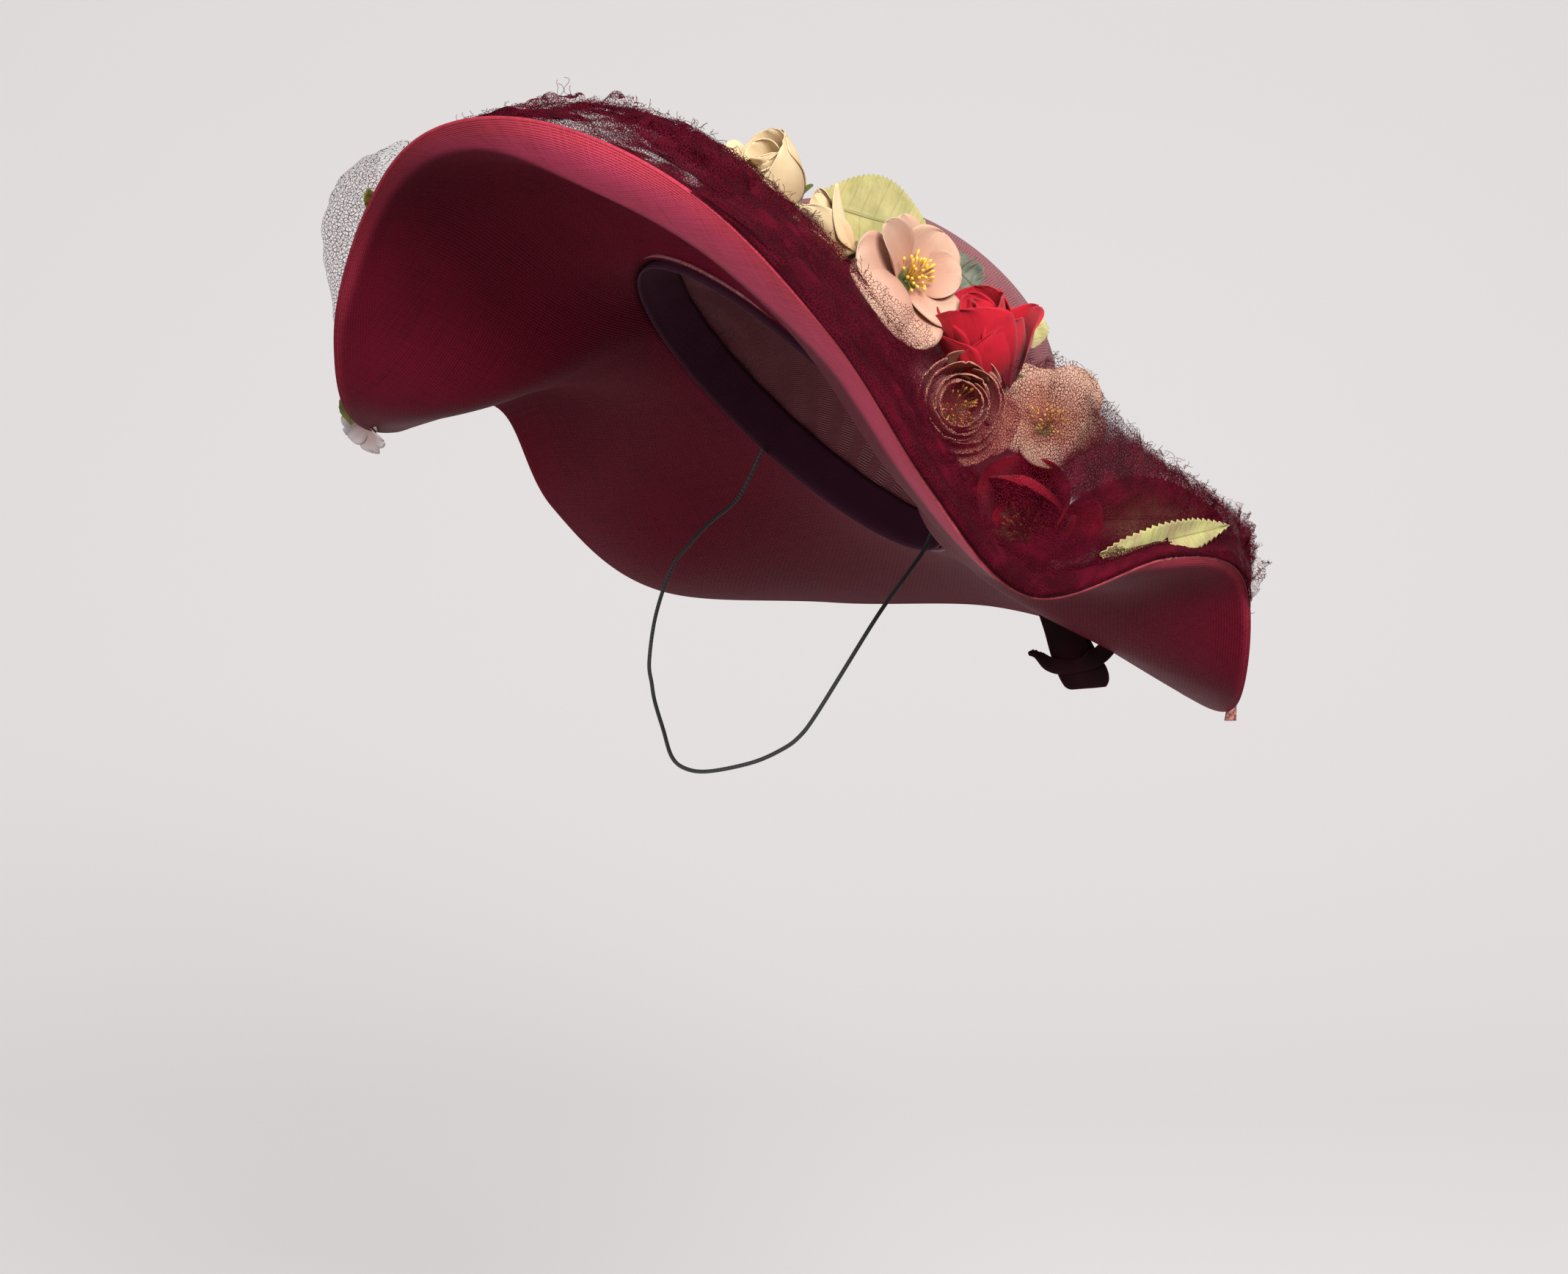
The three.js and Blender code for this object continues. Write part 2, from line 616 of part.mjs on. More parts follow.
const group = new THREE.Group();
const hat = new THREE.Group();
hat.rotation.set(radians(-tiltBack), radians(tiltSide), 0, 'XYZ');
group.add(hat);

function addPiece(parent, name, geometry, finish) {
  geometry.computeVertexNormals();
  const mesh = new THREE.Mesh(geometry, finish);
  mesh.name = name;
  parent.add(mesh);
}

const plug = crownPlug();
const brimOverrun = 0.006;
const brimMargin = 0.1;
const hullGap = seatGap + 0.2;
const thickBrim = solidOf(brimWall(strawThick + 2 * seatGap + brimMargin, brimOverrun));
addPiece(hat, 'crown', crownWall(), crownStraw);
addPiece(hat, 'brim', geometryOf(largest(solidOf(brimWall(strawThick)).subtract(plug))), straw);
addPiece(hat, 'head_ribbon', headRibbonWall(), velvet);

// Each piece of the trimming is cut back from the hat and from the pieces before it.
const hulls = [];
const cutClear = (solid) =>
  largest(hulls.reduce((rest, hull) => rest.subtract(hull), solid.subtract(plug).subtract(thickBrim)));

function addTrimming(name, shape, from, middle) {
  let solid = cutClear(shape);
  if (middle) solid = largest(solid.subtract(clearanceHull(geometryOf(middle), seatGap)));
  const own = [clearanceHull(geometryOf(solid), hullGap)];
  if (stemmed.includes(name)) {
    let rod = cutClear(stemSolid(from));
    if (middle) rod = largest(rod.subtract(clearanceHull(geometryOf(middle), seatGap)));
    own.push(clearanceHull(geometryOf(rod), hullGap));
    solid = largest(solid.add(rod));
  }
  hulls.push(...own);
  addPiece(hat, name, geometryOf(solid), material(clothColors[name], 0.8));
}

for (const flower of flowers) {
  const entry = stamens.find((bunch) => bunch.flower === flower.name);
  const bunch = entry && stamenSolid(entry);
  if (entry) addPiece(hat, entry.name, geometryOf(bunch), material(0xc9a548, 0.7));
  const base = new THREE.Vector3().setFromMatrixPosition(flowerPlace(flower));
  addTrimming(flower.name, flowerSolid(flower), base, bunch);
}
for (const entry of leaves) {
  const root = new THREE.Vector3(...entry.root);
  const inLeaf = root.lerp(new THREE.Vector3(...entry.tip), stem.atLeaf);
  addTrimming(entry.name, solidOf(leafSheet(entry)), inLeaf);
}

addPiece(hat, 'net_band', geometryOf(cutClear(solidOf(netSheet(netBandSections, netBand)))), netting);
addPiece(hat, 'net_puff', geometryOf(cutClear(solidOf(netSheet(netPuffSections, netPuff)))), netting);

hat.updateMatrixWorld();
const brimInPlace = thickBrim.transform(hat.matrixWorld.elements);
for (const piece of bowPieces) {
  const solid = largest(solidOf(bowSheet(piece)).subtract(brimInPlace));
  addPiece(group, piece.name, geometryOf(solid), velvet);
}
addPiece(group, 'chin_elastic', elasticTube(), rubber);

export default group;
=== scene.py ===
import json
import math
import bpy
import numpy as np
from mathutils import Matrix, Vector

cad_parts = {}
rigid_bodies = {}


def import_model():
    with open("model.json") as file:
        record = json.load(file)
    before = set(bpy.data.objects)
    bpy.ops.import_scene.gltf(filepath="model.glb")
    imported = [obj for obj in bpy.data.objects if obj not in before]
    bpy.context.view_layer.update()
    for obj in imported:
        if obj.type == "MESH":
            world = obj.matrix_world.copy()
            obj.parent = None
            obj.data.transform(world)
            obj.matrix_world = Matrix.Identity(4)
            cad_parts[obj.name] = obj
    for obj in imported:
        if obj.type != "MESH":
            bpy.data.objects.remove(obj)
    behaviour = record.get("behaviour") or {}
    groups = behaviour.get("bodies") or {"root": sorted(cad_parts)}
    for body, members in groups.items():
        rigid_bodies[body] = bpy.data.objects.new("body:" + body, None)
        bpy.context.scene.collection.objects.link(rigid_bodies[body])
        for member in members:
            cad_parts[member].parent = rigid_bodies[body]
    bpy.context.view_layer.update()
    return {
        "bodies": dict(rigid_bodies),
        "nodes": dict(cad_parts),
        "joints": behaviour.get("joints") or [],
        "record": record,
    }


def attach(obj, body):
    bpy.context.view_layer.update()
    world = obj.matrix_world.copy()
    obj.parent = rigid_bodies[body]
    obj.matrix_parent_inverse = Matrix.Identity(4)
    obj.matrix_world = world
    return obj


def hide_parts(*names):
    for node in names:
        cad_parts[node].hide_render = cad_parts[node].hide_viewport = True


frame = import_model()
print("frame loaded:", len(frame["nodes"]), "nodes")

# Millimetres are used for shapes and turned to metres as each mesh is made.
toMetres = 0.001

# The hat is worn tilted back; its own frame has the brim level and +Z up the crown.
hatPose = {"tiltBack": 47, "tiltSide": 3.5}
hatTurn = np.array(
    Matrix.Rotation(math.radians(-hatPose["tiltBack"]), 3, "X")
    @ Matrix.Rotation(math.radians(hatPose["tiltSide"]), 3, "Y")
)


def fromHat(points):
    return np.asarray(points, float) @ hatTurn.T


# Camera
camera = {
    "place": (1.2424, -0.9594, 0.2946), "azimuth": 52.5, "pitch": 14.2, "lens": 84.6, "sensor": 36,
}
picture = {"wide": 2137, "high": 1736}
azimuth, pitch = math.radians(camera["azimuth"]), math.radians(camera["pitch"])
lookAlong = np.array([
    -math.sin(azimuth) * math.cos(pitch),
    math.cos(azimuth) * math.cos(pitch),
    -math.sin(pitch),
])
lookRight = np.array([math.cos(azimuth), math.sin(azimuth), 0.0])
lookUp = np.cross(lookRight, lookAlong)


def addCamera():
    data = bpy.data.cameras.new("camera")
    data.lens = camera["lens"]
    data.sensor_width = camera["sensor"]
    data.clip_start = 0.05
    data.clip_end = 20
    made = bpy.data.objects.new("camera", data)
    made.location = camera["place"]
    made.rotation_mode = "QUATERNION"
    made.rotation_quaternion = Vector(lookAlong).to_track_quat("-Z", "Y")
    bpy.context.scene.collection.objects.link(made)
    bpy.context.scene.camera = made


addCamera()


# Shader building

class Link:
    # A socket that takes part in arithmetic; each operator adds a Math node.
    def __init__(self, finish, socket):
        self.finish = finish
        self.socket = socket

    def maths(self, operation, *others):
        return self.finish.maths(operation, self, *others)

    def __add__(self, other):
        return self.maths("ADD", other)

    def __sub__(self, other):
        return self.maths("SUBTRACT", other)

    def __rsub__(self, other):
        return self.finish.maths("SUBTRACT", other, self)

    def __mul__(self, other):
        return self.maths("MULTIPLY", other)

    def __abs__(self):
        return self.maths("ABSOLUTE")

    __radd__, __rmul__ = __add__, __mul__


class Finish:
    # A material with one Principled shader
    def __init__(self, name, **fixed):
        self.material = bpy.data.materials.new(name)
        self.material.use_nodes = True
        self.tree = self.material.node_tree
        self.shader = self.tree.nodes["Principled BSDF"]
        for socket, value in fixed.items():
            self.shader.inputs[socket.replace("_", " ")].default_value = value

    def node(self, kind, settings=None, inputs=None, output=0):
        made = self.tree.nodes.new(kind)
        for key, value in (settings or {}).items():
            if key == "stops":
                ramp = made.color_ramp
                while len(ramp.elements) < len(value):
                    ramp.elements.new(0.5)
                for element, (place, color) in zip(ramp.elements, value):
                    element.position = place
                    element.color = (*color, 1)
            else:
                setattr(made, key, value)
        for key, value in (inputs or {}).items():
            self.feed(made.inputs[key], value)
        return Link(self, made.outputs[output])

    def feed(self, socket, value):
        if isinstance(value, Link):
            self.tree.links.new(value.socket, socket)
        else:
            socket.default_value = value

    def maths(self, operation, *values):
        return self.node("ShaderNodeMath", {"operation": operation}, dict(enumerate(values)))

    def set(self, socket, value):
        self.feed(self.shader.inputs[socket], value)

    def mixed(self, share, first, second):
        colors = [(*color, 1) if isinstance(color, tuple) else color for color in (first, second)]
        return self.node(
            "ShaderNodeMix",
            {"data_type": "RGBA", "blend_type": "MIX", "clamp_factor": True},
            {0: share, 6: colors[0], 7: colors[1]},
            2,
        )

    def value(self, name):
        return self.node("ShaderNodeAttribute", {"attribute_name": name}, output=2)

    def flat(self):
        # Millimetres over the cloth, as it lay before it was shaped
        place = self.node("ShaderNodeUVMap", {"uv_map": "flat"})
        return place, [
            self.node("ShaderNodeSeparateXYZ", inputs={0: place}, output=axis) for axis in (0, 1)
        ]

    def vector(self, x, y, z=0.0):
        return self.node("ShaderNodeCombineXYZ", inputs={0: x, 1: y, 2: z})

    def place(self):
        return self.node("ShaderNodeTexCoord", output=3)

    def noise(self, vector, scale, detail=2.0, rough=0.5):
        return self.node(
            "ShaderNodeTexNoise",
            inputs={"Vector": vector, "Scale": scale, "Detail": detail, "Roughness": rough},
        )

    def cells(self, vector, scale):
        return self.node(
            "ShaderNodeTexVoronoi",
            {"voronoi_dimensions": "2D", "feature": "DISTANCE_TO_EDGE"},
            {"Vector": vector, "Scale": scale},
        )

    def between(self, value, low, high):
        # Smooth step from 0 at low to 1 at high
        return self.node(
            "ShaderNodeMapRange",
            {"interpolation_type": "SMOOTHSTEP"},
            {"Value": value, "From Min": low, "From Max": high},
        )

    def bump(self, height, strength, distance):
        self.set("Normal", self.node(
            "ShaderNodeBump",
            inputs={"Height": height, "Strength": strength, "Distance": distance},
        ))


# Meshes

def wallFaces(rows, columns, wraps):
    # Quads of a closed wall whose first half of points is the upper face
    across = columns if wraps else columns - 1
    row, column = np.meshgrid(np.arange(rows - 1), np.arange(across), indexing="ij")
    a = (row * columns + column).ravel()
    b = (row * columns + (column + 1) % columns).ravel()
    c, d = b + columns, a + columns
    under = rows * columns
    faces = [np.stack([a, b, c, d], 1), np.stack([a, d, c, b], 1) + under]
    start = np.arange(across)
    following = (start + 1) % columns
    last = (rows - 1) * columns
    faces.append(np.stack([following, start, start + under, following + under], 1))
    faces.append(np.stack([start, following, following + under, start + under], 1) + last)
    if not wraps:
        side = np.arange(rows - 1) * columns
        faces.append(np.stack([side, side + columns, side + columns + under, side + under], 1))
        side = side + columns - 1
        faces.append(np.stack([side + columns, side, side + under, side + columns + under], 1))
    return np.concatenate(faces)


def unit(vectors):
    length = np.linalg.norm(vectors, axis=-1, keepdims=True)
    return vectors / np.maximum(length, 1e-9)


def gridNormals(grid, wraps=False):
    across = np.roll(grid, -1, 1) - np.roll(grid, 1, 1) if wraps else np.gradient(grid, axis=1)
    return unit(np.cross(across, np.gradient(grid, axis=0)))


class Shape:
    # Points and faces in millimetres, gathered piece by piece, with values for the shader
    def __init__(self):
        self.points, self.faces, self.flats, self.values = [], [], [], {}
        self.count = 0

    def add(self, points, faces, flat=None, **values):
        points = np.asarray(points, float).reshape(-1, 3)
        self.points.append(points)
        self.faces.append(np.asarray(faces) + self.count)
        self.flats.append(np.zeros((len(points), 2)) if flat is None else flat)
        for name, value in values.items():
            known = self.values.setdefault(name, [])
            missing = self.count - sum(len(part) for part in known)
            if missing:
                known.append(np.zeros(missing))
            known.append(np.broadcast_to(value, len(points)))
        self.count += len(points)

    def addWall(self, grid, thick, wraps=False, flat=None, **values):
        rows, columns = grid.shape[:2]
        half = np.broadcast_to(np.asarray(thick, float), (rows, columns))[..., None] / 2
        normal = gridNormals(grid, wraps)
        points = np.concatenate([(grid + normal * half).reshape(-1, 3),
                                 (grid - normal * half).reshape(-1, 3)])
        twice = {name: np.tile(np.broadcast_to(value, (rows, columns)).ravel(), 2)
                 for name, value in values.items()}
        flats = None if flat is None else np.tile(flat.reshape(-1, 2), (2, 1))
        self.add(points, wallFaces(rows, columns, wraps), flats, **twice)

    def addTube(self, path, radius, sides, **values):
        # A round tube with closed ends along a path of points
        path = np.asarray(path, float)
        count = len(path)
        radius = np.broadcast_to(np.asarray(radius, float), count)
        ahead = unit(np.gradient(path, axis=0))
        side = np.cross(ahead[0], [0.3, 0.5, 0.8])
        rings = []
        for place, forward, size in zip(path, ahead, radius):
            side = unit(side - forward * (side @ forward))
            other = np.cross(forward, side)
            turn = np.arange(sides) * 2 * np.pi / sides
            rings.append(place + size * (np.cos(turn)[:, None] * side + np.sin(turn)[:, None] * other))
        ring, step = np.meshgrid(np.arange(count - 1), np.arange(sides), indexing="ij")
        a = (ring * sides + step).ravel()
        b = (ring * sides + (step + 1) % sides).ravel()
        faces = np.stack([a, b, b + sides, a + sides], 1)
        points = np.concatenate([np.concatenate(rings), path[:1], path[-1:]])
        start, end = count * sides, count * sides + 1
        step = np.arange(sides)
        following = (step + 1) % sides
        last = (count - 1) * sides
        caps = np.concatenate([
            np.stack([following, step, np.full(sides, start), np.full(sides, start)], 1),
            np.stack([step + last, following + last, np.full(sides, end), np.full(sides, end)], 1),
        ])
        along = np.concatenate([np.repeat(np.linspace(0, 1, count), sides), [0, 1]])
        self.add(points, np.concatenate([faces, caps]), None, along=along, **values)

    def made(self, name, finish, slot, hatFrame=True):
        points = np.concatenate(self.points)
        points = (fromHat(points) if hatFrame else points) * toMetres
        faces = [tuple(dict.fromkeys(face)) for face in np.concatenate(self.faces).tolist()]
        mesh = bpy.data.meshes.new(name)
        mesh.from_pydata(points.tolist(), [], faces)
        mesh.validate()
        corner = np.zeros(len(mesh.loops), int)
        mesh.loops.foreach_get("vertex_index", corner)
        layer = mesh.uv_layers.new(name="flat")
        layer.data.foreach_set("uv", np.concatenate(self.flats)[corner].astype(np.float32).ravel())
        for label, parts in self.values.items():
            full = np.concatenate(parts)
            full = np.concatenate([full, np.zeros(self.count - len(full))])
            attribute = mesh.attributes.new(label, "FLOAT", "POINT")
            attribute.data.foreach_set("value", full.astype(np.float32))
        mesh.polygons.foreach_set("use_smooth", np.ones(len(mesh.polygons), bool))
        mesh.materials.append(finish.material)
        thing = bpy.data.objects.new(name, mesh)
        bpy.context.scene.collection.objects.link(thing)
        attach(thing, "root")
        return thing


def smoothStep(value, low, high):
    share = np.clip((value - low) / (high - low), 0, 1)
    return share * share * (3 - 2 * share)


def catmull(a, b, c, d, t):
    return b + 0.5 * t * (c - a + t * (2 * a - 5 * b + 4 * c - d + t * (3 * (b - c) + d - a)))


def curveThrough(rows, share):
    # Smooth open curve through the rows of a table, at shares from 0 to 1
    rows = np.asarray(rows, float)
    place = np.clip(share, 0, 1) * (len(rows) - 1)
    first = np.minimum(np.floor(place).astype(int), len(rows) - 2)
    t = (place - first)[..., None]
    return catmull(*[rows[np.clip(first + step, 0, len(rows) - 1)] for step in (-1, 0, 1, 2)], t)


# Chin elastic: the half loop on the wearer's left, mirrored on the hidden side
elastic = {
    "diameter": 1.8,
    "farEnd": (-63.5, 31, -31.5),
    "near": [
        (62.6, 28.3, -41.2), (66, 19, -53), (69, 6, -63), (70.4, -5, -72), (71, -15, -82),
        (67, -27, -101), (60, -36, -120), (54, -39, -129), (47, -42.3, -135.5),
        (33, -48, -143.8), (14, -57, -150.6), (0, -59.5, -152.3),
    ],
    "black": (0.006, 0.006, 0.007), "lit": (0.022, 0.02, 0.022), "braid": 2.4,
    "points": 260,
}


def makeElastic():
    near = np.array(elastic["near"], float)
    hidden = near[1:-1][::-1] * [-1, 1, 1]
    route = np.vstack([near, hidden, [elastic["farEnd"]]])
    path = curveThrough(route, np.linspace(0, 1, elastic["points"]))
    length = np.linalg.norm(np.diff(path, axis=0), axis=1).sum() * toMetres
    finish = Finish("elastic", Roughness=0.62)
    along = finish.value("along")
    braid = abs(finish.maths("SINE", along * (length / toMetres * elastic["braid"])))
    finish.set("Base Color", finish.mixed(braid, elastic["black"], elastic["lit"]))
    finish.bump(braid, 0.5, 0.0002)
    cord = Shape()
    cord.addTube(path, elastic["diameter"] / 2, 10)
    cord = cord.made("elastic_cord", finish, "elastic", hatFrame=False)
    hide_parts("chin_elastic")
    tuple(path[0] * toMetres)
    [tuple(point) for point in path * toMetres]
    print("chin elastic", round(float(length), 3), "m")


makeElastic()

# Straw brim, one row every 18 degrees from the front to the wearer's left:
# reach and lift of the edge, slope of the straw at the opening and at the edge
brim = {
    "sections": np.array([
        (218, -41, 32, -15), (224, -22, 37, 38), (223, -19, 10, 26), (217, -30, -21, -1),
        (209, -46, -37, -10), (206, -45, -40, -5), (195, 18, -71, 78), (203, 49, -57, 59),
        (230, 24, -11, 17), (229, 31, 18, 14), (224, 47, 27, 12), (224, 37, 20, 13),
        (222, -6, 5, 10), (213, -55, -14, 0), (211, -60, -31, -19), (194, -49, -45, -43),
        (167, -100, -56, -47), (162, -116, -81, -26), (174, -100, -41, -54), (196, -66, 6, -71),
    ], float),
    "halfWide": 77,
    "halfLong": 94,
    "pull": 0.36,
    "thick": 1.2,
    "hemThick": 1.4,
    "hemWide": 2.4,
    "around": 500,
    "rows": 44,
    "weave": 1.15,
    # angle, where the painted light on the rim starts and ends from the edge in millimetres, its strength
    "rimLight": np.array([
        (-180, 1, 3, 0.05), (-60, 1, 3, 0.1), (-40, 1, 5, 0.2), (-30, 3, 9, 0.35), (-20, 5, 13, 0.5),
        (-10, 9, 18, 0.7), (0, 14, 24, 0.85), (10, 22, 34, 1), (20, 30, 46, 1), (60, 30, 46, 1),
        (80, 18, 32, 0.9), (90, 7, 16, 0.8), (100, 3, 10, 0.75), (112, 3, 9, 0.7), (124, 2, 6, 0.5),
        (136, 1, 4, 0.2), (180, 1, 3, 0.05),
    ]),
    # the straw's own dark burgundy in two tones, darkened further as painted shade under the brim
    "lit": (0.118, 0.0030, 0.0140),
    "deep": (0.058, 0.0012, 0.0062),
    # the rim band painted paler as painted light, warmer right at the edge
    "faded": (0.60, 0.060, 0.128),
    "warm": (0.60, 0.055, 0.090),
    "piping": (0.40, 0.060, 0.080),
    "slub": (0.07, 0.003, 0.015),
    # angles over which the piping of the rim comes and goes
    "pipingComes": (46, 62),
    "pipingGoes": (118, 134),
}


def openingRadius(angle):
    turn = np.radians(angle)
    return 1 / np.hypot(np.sin(turn) / brim["halfWide"], np.cos(turn) / brim["halfLong"])


def hatPoint(angle, radius, height):
    turn = np.radians(angle)
    return np.stack(np.broadcast_arrays(radius * np.sin(turn), -radius * np.cos(turn), height), -1)


def brimAcross(angle, share):
    # Distance from the hat's axis and height of the straw
    rows = brim["sections"]
    place = np.mod(np.asarray(angle, float) / 360, 1) * len(rows)
    first = np.floor(place).astype(int)
    t = (place - first)[..., None]
    values = catmull(*[rows[(first + step) % len(rows)] for step in (-1, 0, 1, 2)], t)
    reach, lift, root, edge = np.moveaxis(values, -1, 0)
    root, edge = np.radians(root), np.radians(edge)
    start = openingRadius(angle)
    pull = brim["pull"] * np.hypot(reach - start, lift)
    away = 1 - share
    weights = (away ** 3, 3 * away ** 2 * share, 3 * away * share ** 2, share ** 3)
    out = (start, start + pull * np.cos(root), reach - pull * np.cos(edge), reach)
    up = (0, pull * np.sin(root), lift - pull * np.sin(edge), lift)
    return sum(w * r for w, r in zip(weights, out)), sum(w * z for w, z in zip(weights, up))


def brimPoint(angle, share):
    out, up = brimAcross(angle, share)
    return hatPoint(angle, out, up)


def overBrim(angle, share, height):
    # A place at a height over the brim's upper face
    inside = np.clip(share, 0.01, 0.99)
    around = brimPoint(angle + 0.5, inside) - brimPoint(angle - 0.5, inside)
    out = brimPoint(angle, inside + 0.01) - brimPoint(angle, inside - 0.01)
    up = -unit(np.cross(around, out))
    return brimPoint(angle, share) + up * np.asarray(height, float)[..., None]


def wovenHeight(finish, x, y, pitch):
    # Plain weave: threads pass over and under each other in a checker of cells
    acrossX = finish.maths("SINE", x * (math.pi / pitch))
    acrossY = finish.maths("SINE", y * (math.pi / pitch))
    over = acrossX * acrossY * 0.5 + 0.5
    return abs(acrossX) * over + abs(acrossY) * (1 - over)


def strawFinish():
    finish = Finish("straw", Roughness=0.6, Specular_IOR_Level=0.06)
    flat, (x, y) = finish.flat()
    edge = finish.value("edge")
    streaks = finish.noise(finish.vector(x * 0.8, y * 0.03), 1.0, 3) \
        + finish.noise(finish.vector(x * 0.03, y * 0.8, 40), 1.0, 3)
    slubs = finish.between(finish.noise(finish.vector(x * 0.05, y * 1.1, 9), 1.0, 2), 0.66, 0.8) \
        + finish.between(finish.noise(finish.vector(x * 1.1, y * 0.05, 60), 1.0, 2), 0.66, 0.8)
    patches = finish.noise(flat, 0.03, 3)
    weave = wovenHeight(finish, x, y, brim["weave"])
    rows = abs(finish.maths("SINE", edge * (math.pi / brim["weave"])))
    nearEdge = 1 - finish.between(edge, 14, 22)
    threads = weave * (1 - nearEdge * 0.6) + rows * nearEdge * 0.6
    # The straw's streaks and patches are its own uneven tone; the weave's crests are painted lighter as
    # painted highlights
    tone = finish.between(streaks * 0.5 + patches * 0.35 + threads * 0.3, 0.5, 0.95)
    color = finish.mixed(tone, brim["deep"], brim["lit"])
    # The paler rim is painted light: a lit band along the edge, warmer right at the edge and a little
    # darker along its last millimetre
    faded = finish.value("faded")
    litRim = finish.mixed(1 - finish.between(edge + patches * 12, 8, 20), brim["faded"], brim["warm"])
    litRim = finish.mixed((1 - finish.between(edge, 0.2, 1.2)) * 0.35, litRim, brim["deep"])
    color = finish.mixed(faded * (0.42 + tone * 0.58), color, litRim)
    color = finish.mixed((1 - finish.between(edge, 0.6, 1.8)) * finish.value("hem"), color, brim["piping"])
    color = finish.mixed(slubs * 0.35, color, brim["slub"])
    finish.set("Base Color", color)
    finish.set("Roughness", 0.62 - threads * 0.18)
    finish.bump(threads + streaks * 0.5, 0.7, 0.0006)
    return finish


def makeBrim():
    angle = np.arange(brim["around"]) * 360 / brim["around"]
    share = 1 - (1 - np.linspace(0, 1, brim["rows"])) ** 1.5
    out, up = brimAcross(angle[None, :], share[:, None])
    steps = np.hypot(np.diff(out, axis=0), np.diff(up, axis=0))
    along = np.vstack([np.zeros(brim["around"]), np.cumsum(steps, axis=0)])
    edge = along[-1] - along
    laid = openingRadius(angle) + along
    # The straw has a slight wave of its own
    wave = 0.5 * np.sin(np.radians(angle * 7 + 40)) + 0.35 * np.sin(np.radians(angle * 13 + 10))
    up = up + wave * smoothStep(share, 0.3, 1)[:, None]
    grid = hatPoint(angle[None, :], out, up)
    nearHem = 1 - smoothStep(edge, 0.8, brim["hemWide"])
    thick = brim["thick"] + (brim["hemThick"] - brim["thick"]) * nearHem
    flat = hatPoint(angle[None, :], laid, 0)[..., :2]
    # The rim is painted paler as painted light, the lit band along its edge, most of all on the wearer's
    # left, where its edge is palest
    turned = (angle + 180) % 360 - 180
    places = brim["rimLight"][:, 0]
    starts, ends, strength = [np.interp(turned, places, brim["rimLight"][:, k]) for k in (1, 2, 3)]
    faded = strength * (1 - smoothStep(edge, starts, ends))
    piped = smoothStep(turned, *brim["pipingComes"]) * (1 - smoothStep(turned, *brim["pipingGoes"]))
    hem = piped[None, :] * np.ones(edge.shape)
    shape = Shape()
    shape.addWall(grid, thick, True, flat, edge=edge, faded=faded, hem=hem)
    made = shape.made("straw_brim", strawFinish(), "brim_straw")
    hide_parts("brim")
    print("brim", len(made.data.polygons), "faces")


makeBrim()

crown = {
    "height": 107, "power": 2.45, "leanBack": 35, "flare": 2.2,
    "thick": 1.3, "around": 220, "rows": 54,
    "lit": (0.26, 0.078, 0.085), "deep": (0.14, 0.031, 0.040),
    "row": 1.5, "chevron": 6.5,
}


def crownPoint(angle, height, outset=0.0):
    rise = np.clip(height / crown["height"], 0, 1)
    shrink = (1 - rise ** crown["power"]) ** (1 / crown["power"])
    point = hatPoint(angle, openingRadius(angle) * shrink + outset, height)
    point[..., 1] += crown["leanBack"] * rise
    return point


def makeCrown():
    finish = Finish("crown_straw", Roughness=0.6)
    flat, (x, y) = finish.flat()
    folded = finish.maths("PINGPONG", x, crown["chevron"])
    lines = abs(finish.maths("SINE", (y + folded * 0.55) * (math.pi / crown["row"])))
    streaks = finish.noise(finish.vector(x * 0.12, y * 0.9), 1.0, 3)
    faded = finish.noise(flat, 0.035, 3)
    # The crown's brownish rose is painted sheen, the colour of the light its straw reflects, and its rows
    # are painted lighter as painted highlights
    tone = finish.between(lines * 0.35 + streaks * 0.4 + faded * 0.5, 0.35, 0.95)
    finish.set("Base Color", finish.mixed(tone, crown["deep"], crown["lit"]))
    finish.set("Roughness", 0.68 - lines * 0.15)
    finish.bump(lines + streaks * 0.6, 0.6, 0.0005)
    angle = np.arange(crown["around"]) * 360 / crown["around"]
    share = np.linspace(0, 1, crown["rows"])
    height = (crown["height"] - 0.002) * np.sin(share * math.pi / 2) ** 1.1
    flare = crown["flare"] * np.exp(-height / 2.5)
    grid = crownPoint(angle[None, :], height[:, None], flare[:, None])
    steps = np.linalg.norm(np.diff(grid, axis=0), axis=-1)
    toTip = np.vstack([np.cumsum(steps[::-1], axis=0)[::-1], np.zeros(crown["around"])])
    shape = Shape()
    shape.addWall(grid, crown["thick"], True, hatPoint(angle[None, :], toTip, 0)[..., :2])
    made = shape.made("straw_crown", finish, "crown_straw")
    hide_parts("crown")
    print("crown", len(made.data.polygons), "faces")


makeCrown()

headRibbon = {
    "low": -3.2, "high": 18, "inset": 1.9, "thick": 0.8, "around": 360,
    "dark": (0.022, 0.003, 0.010), "lit": (0.052, 0.008, 0.024), "rib": 0.9,
}


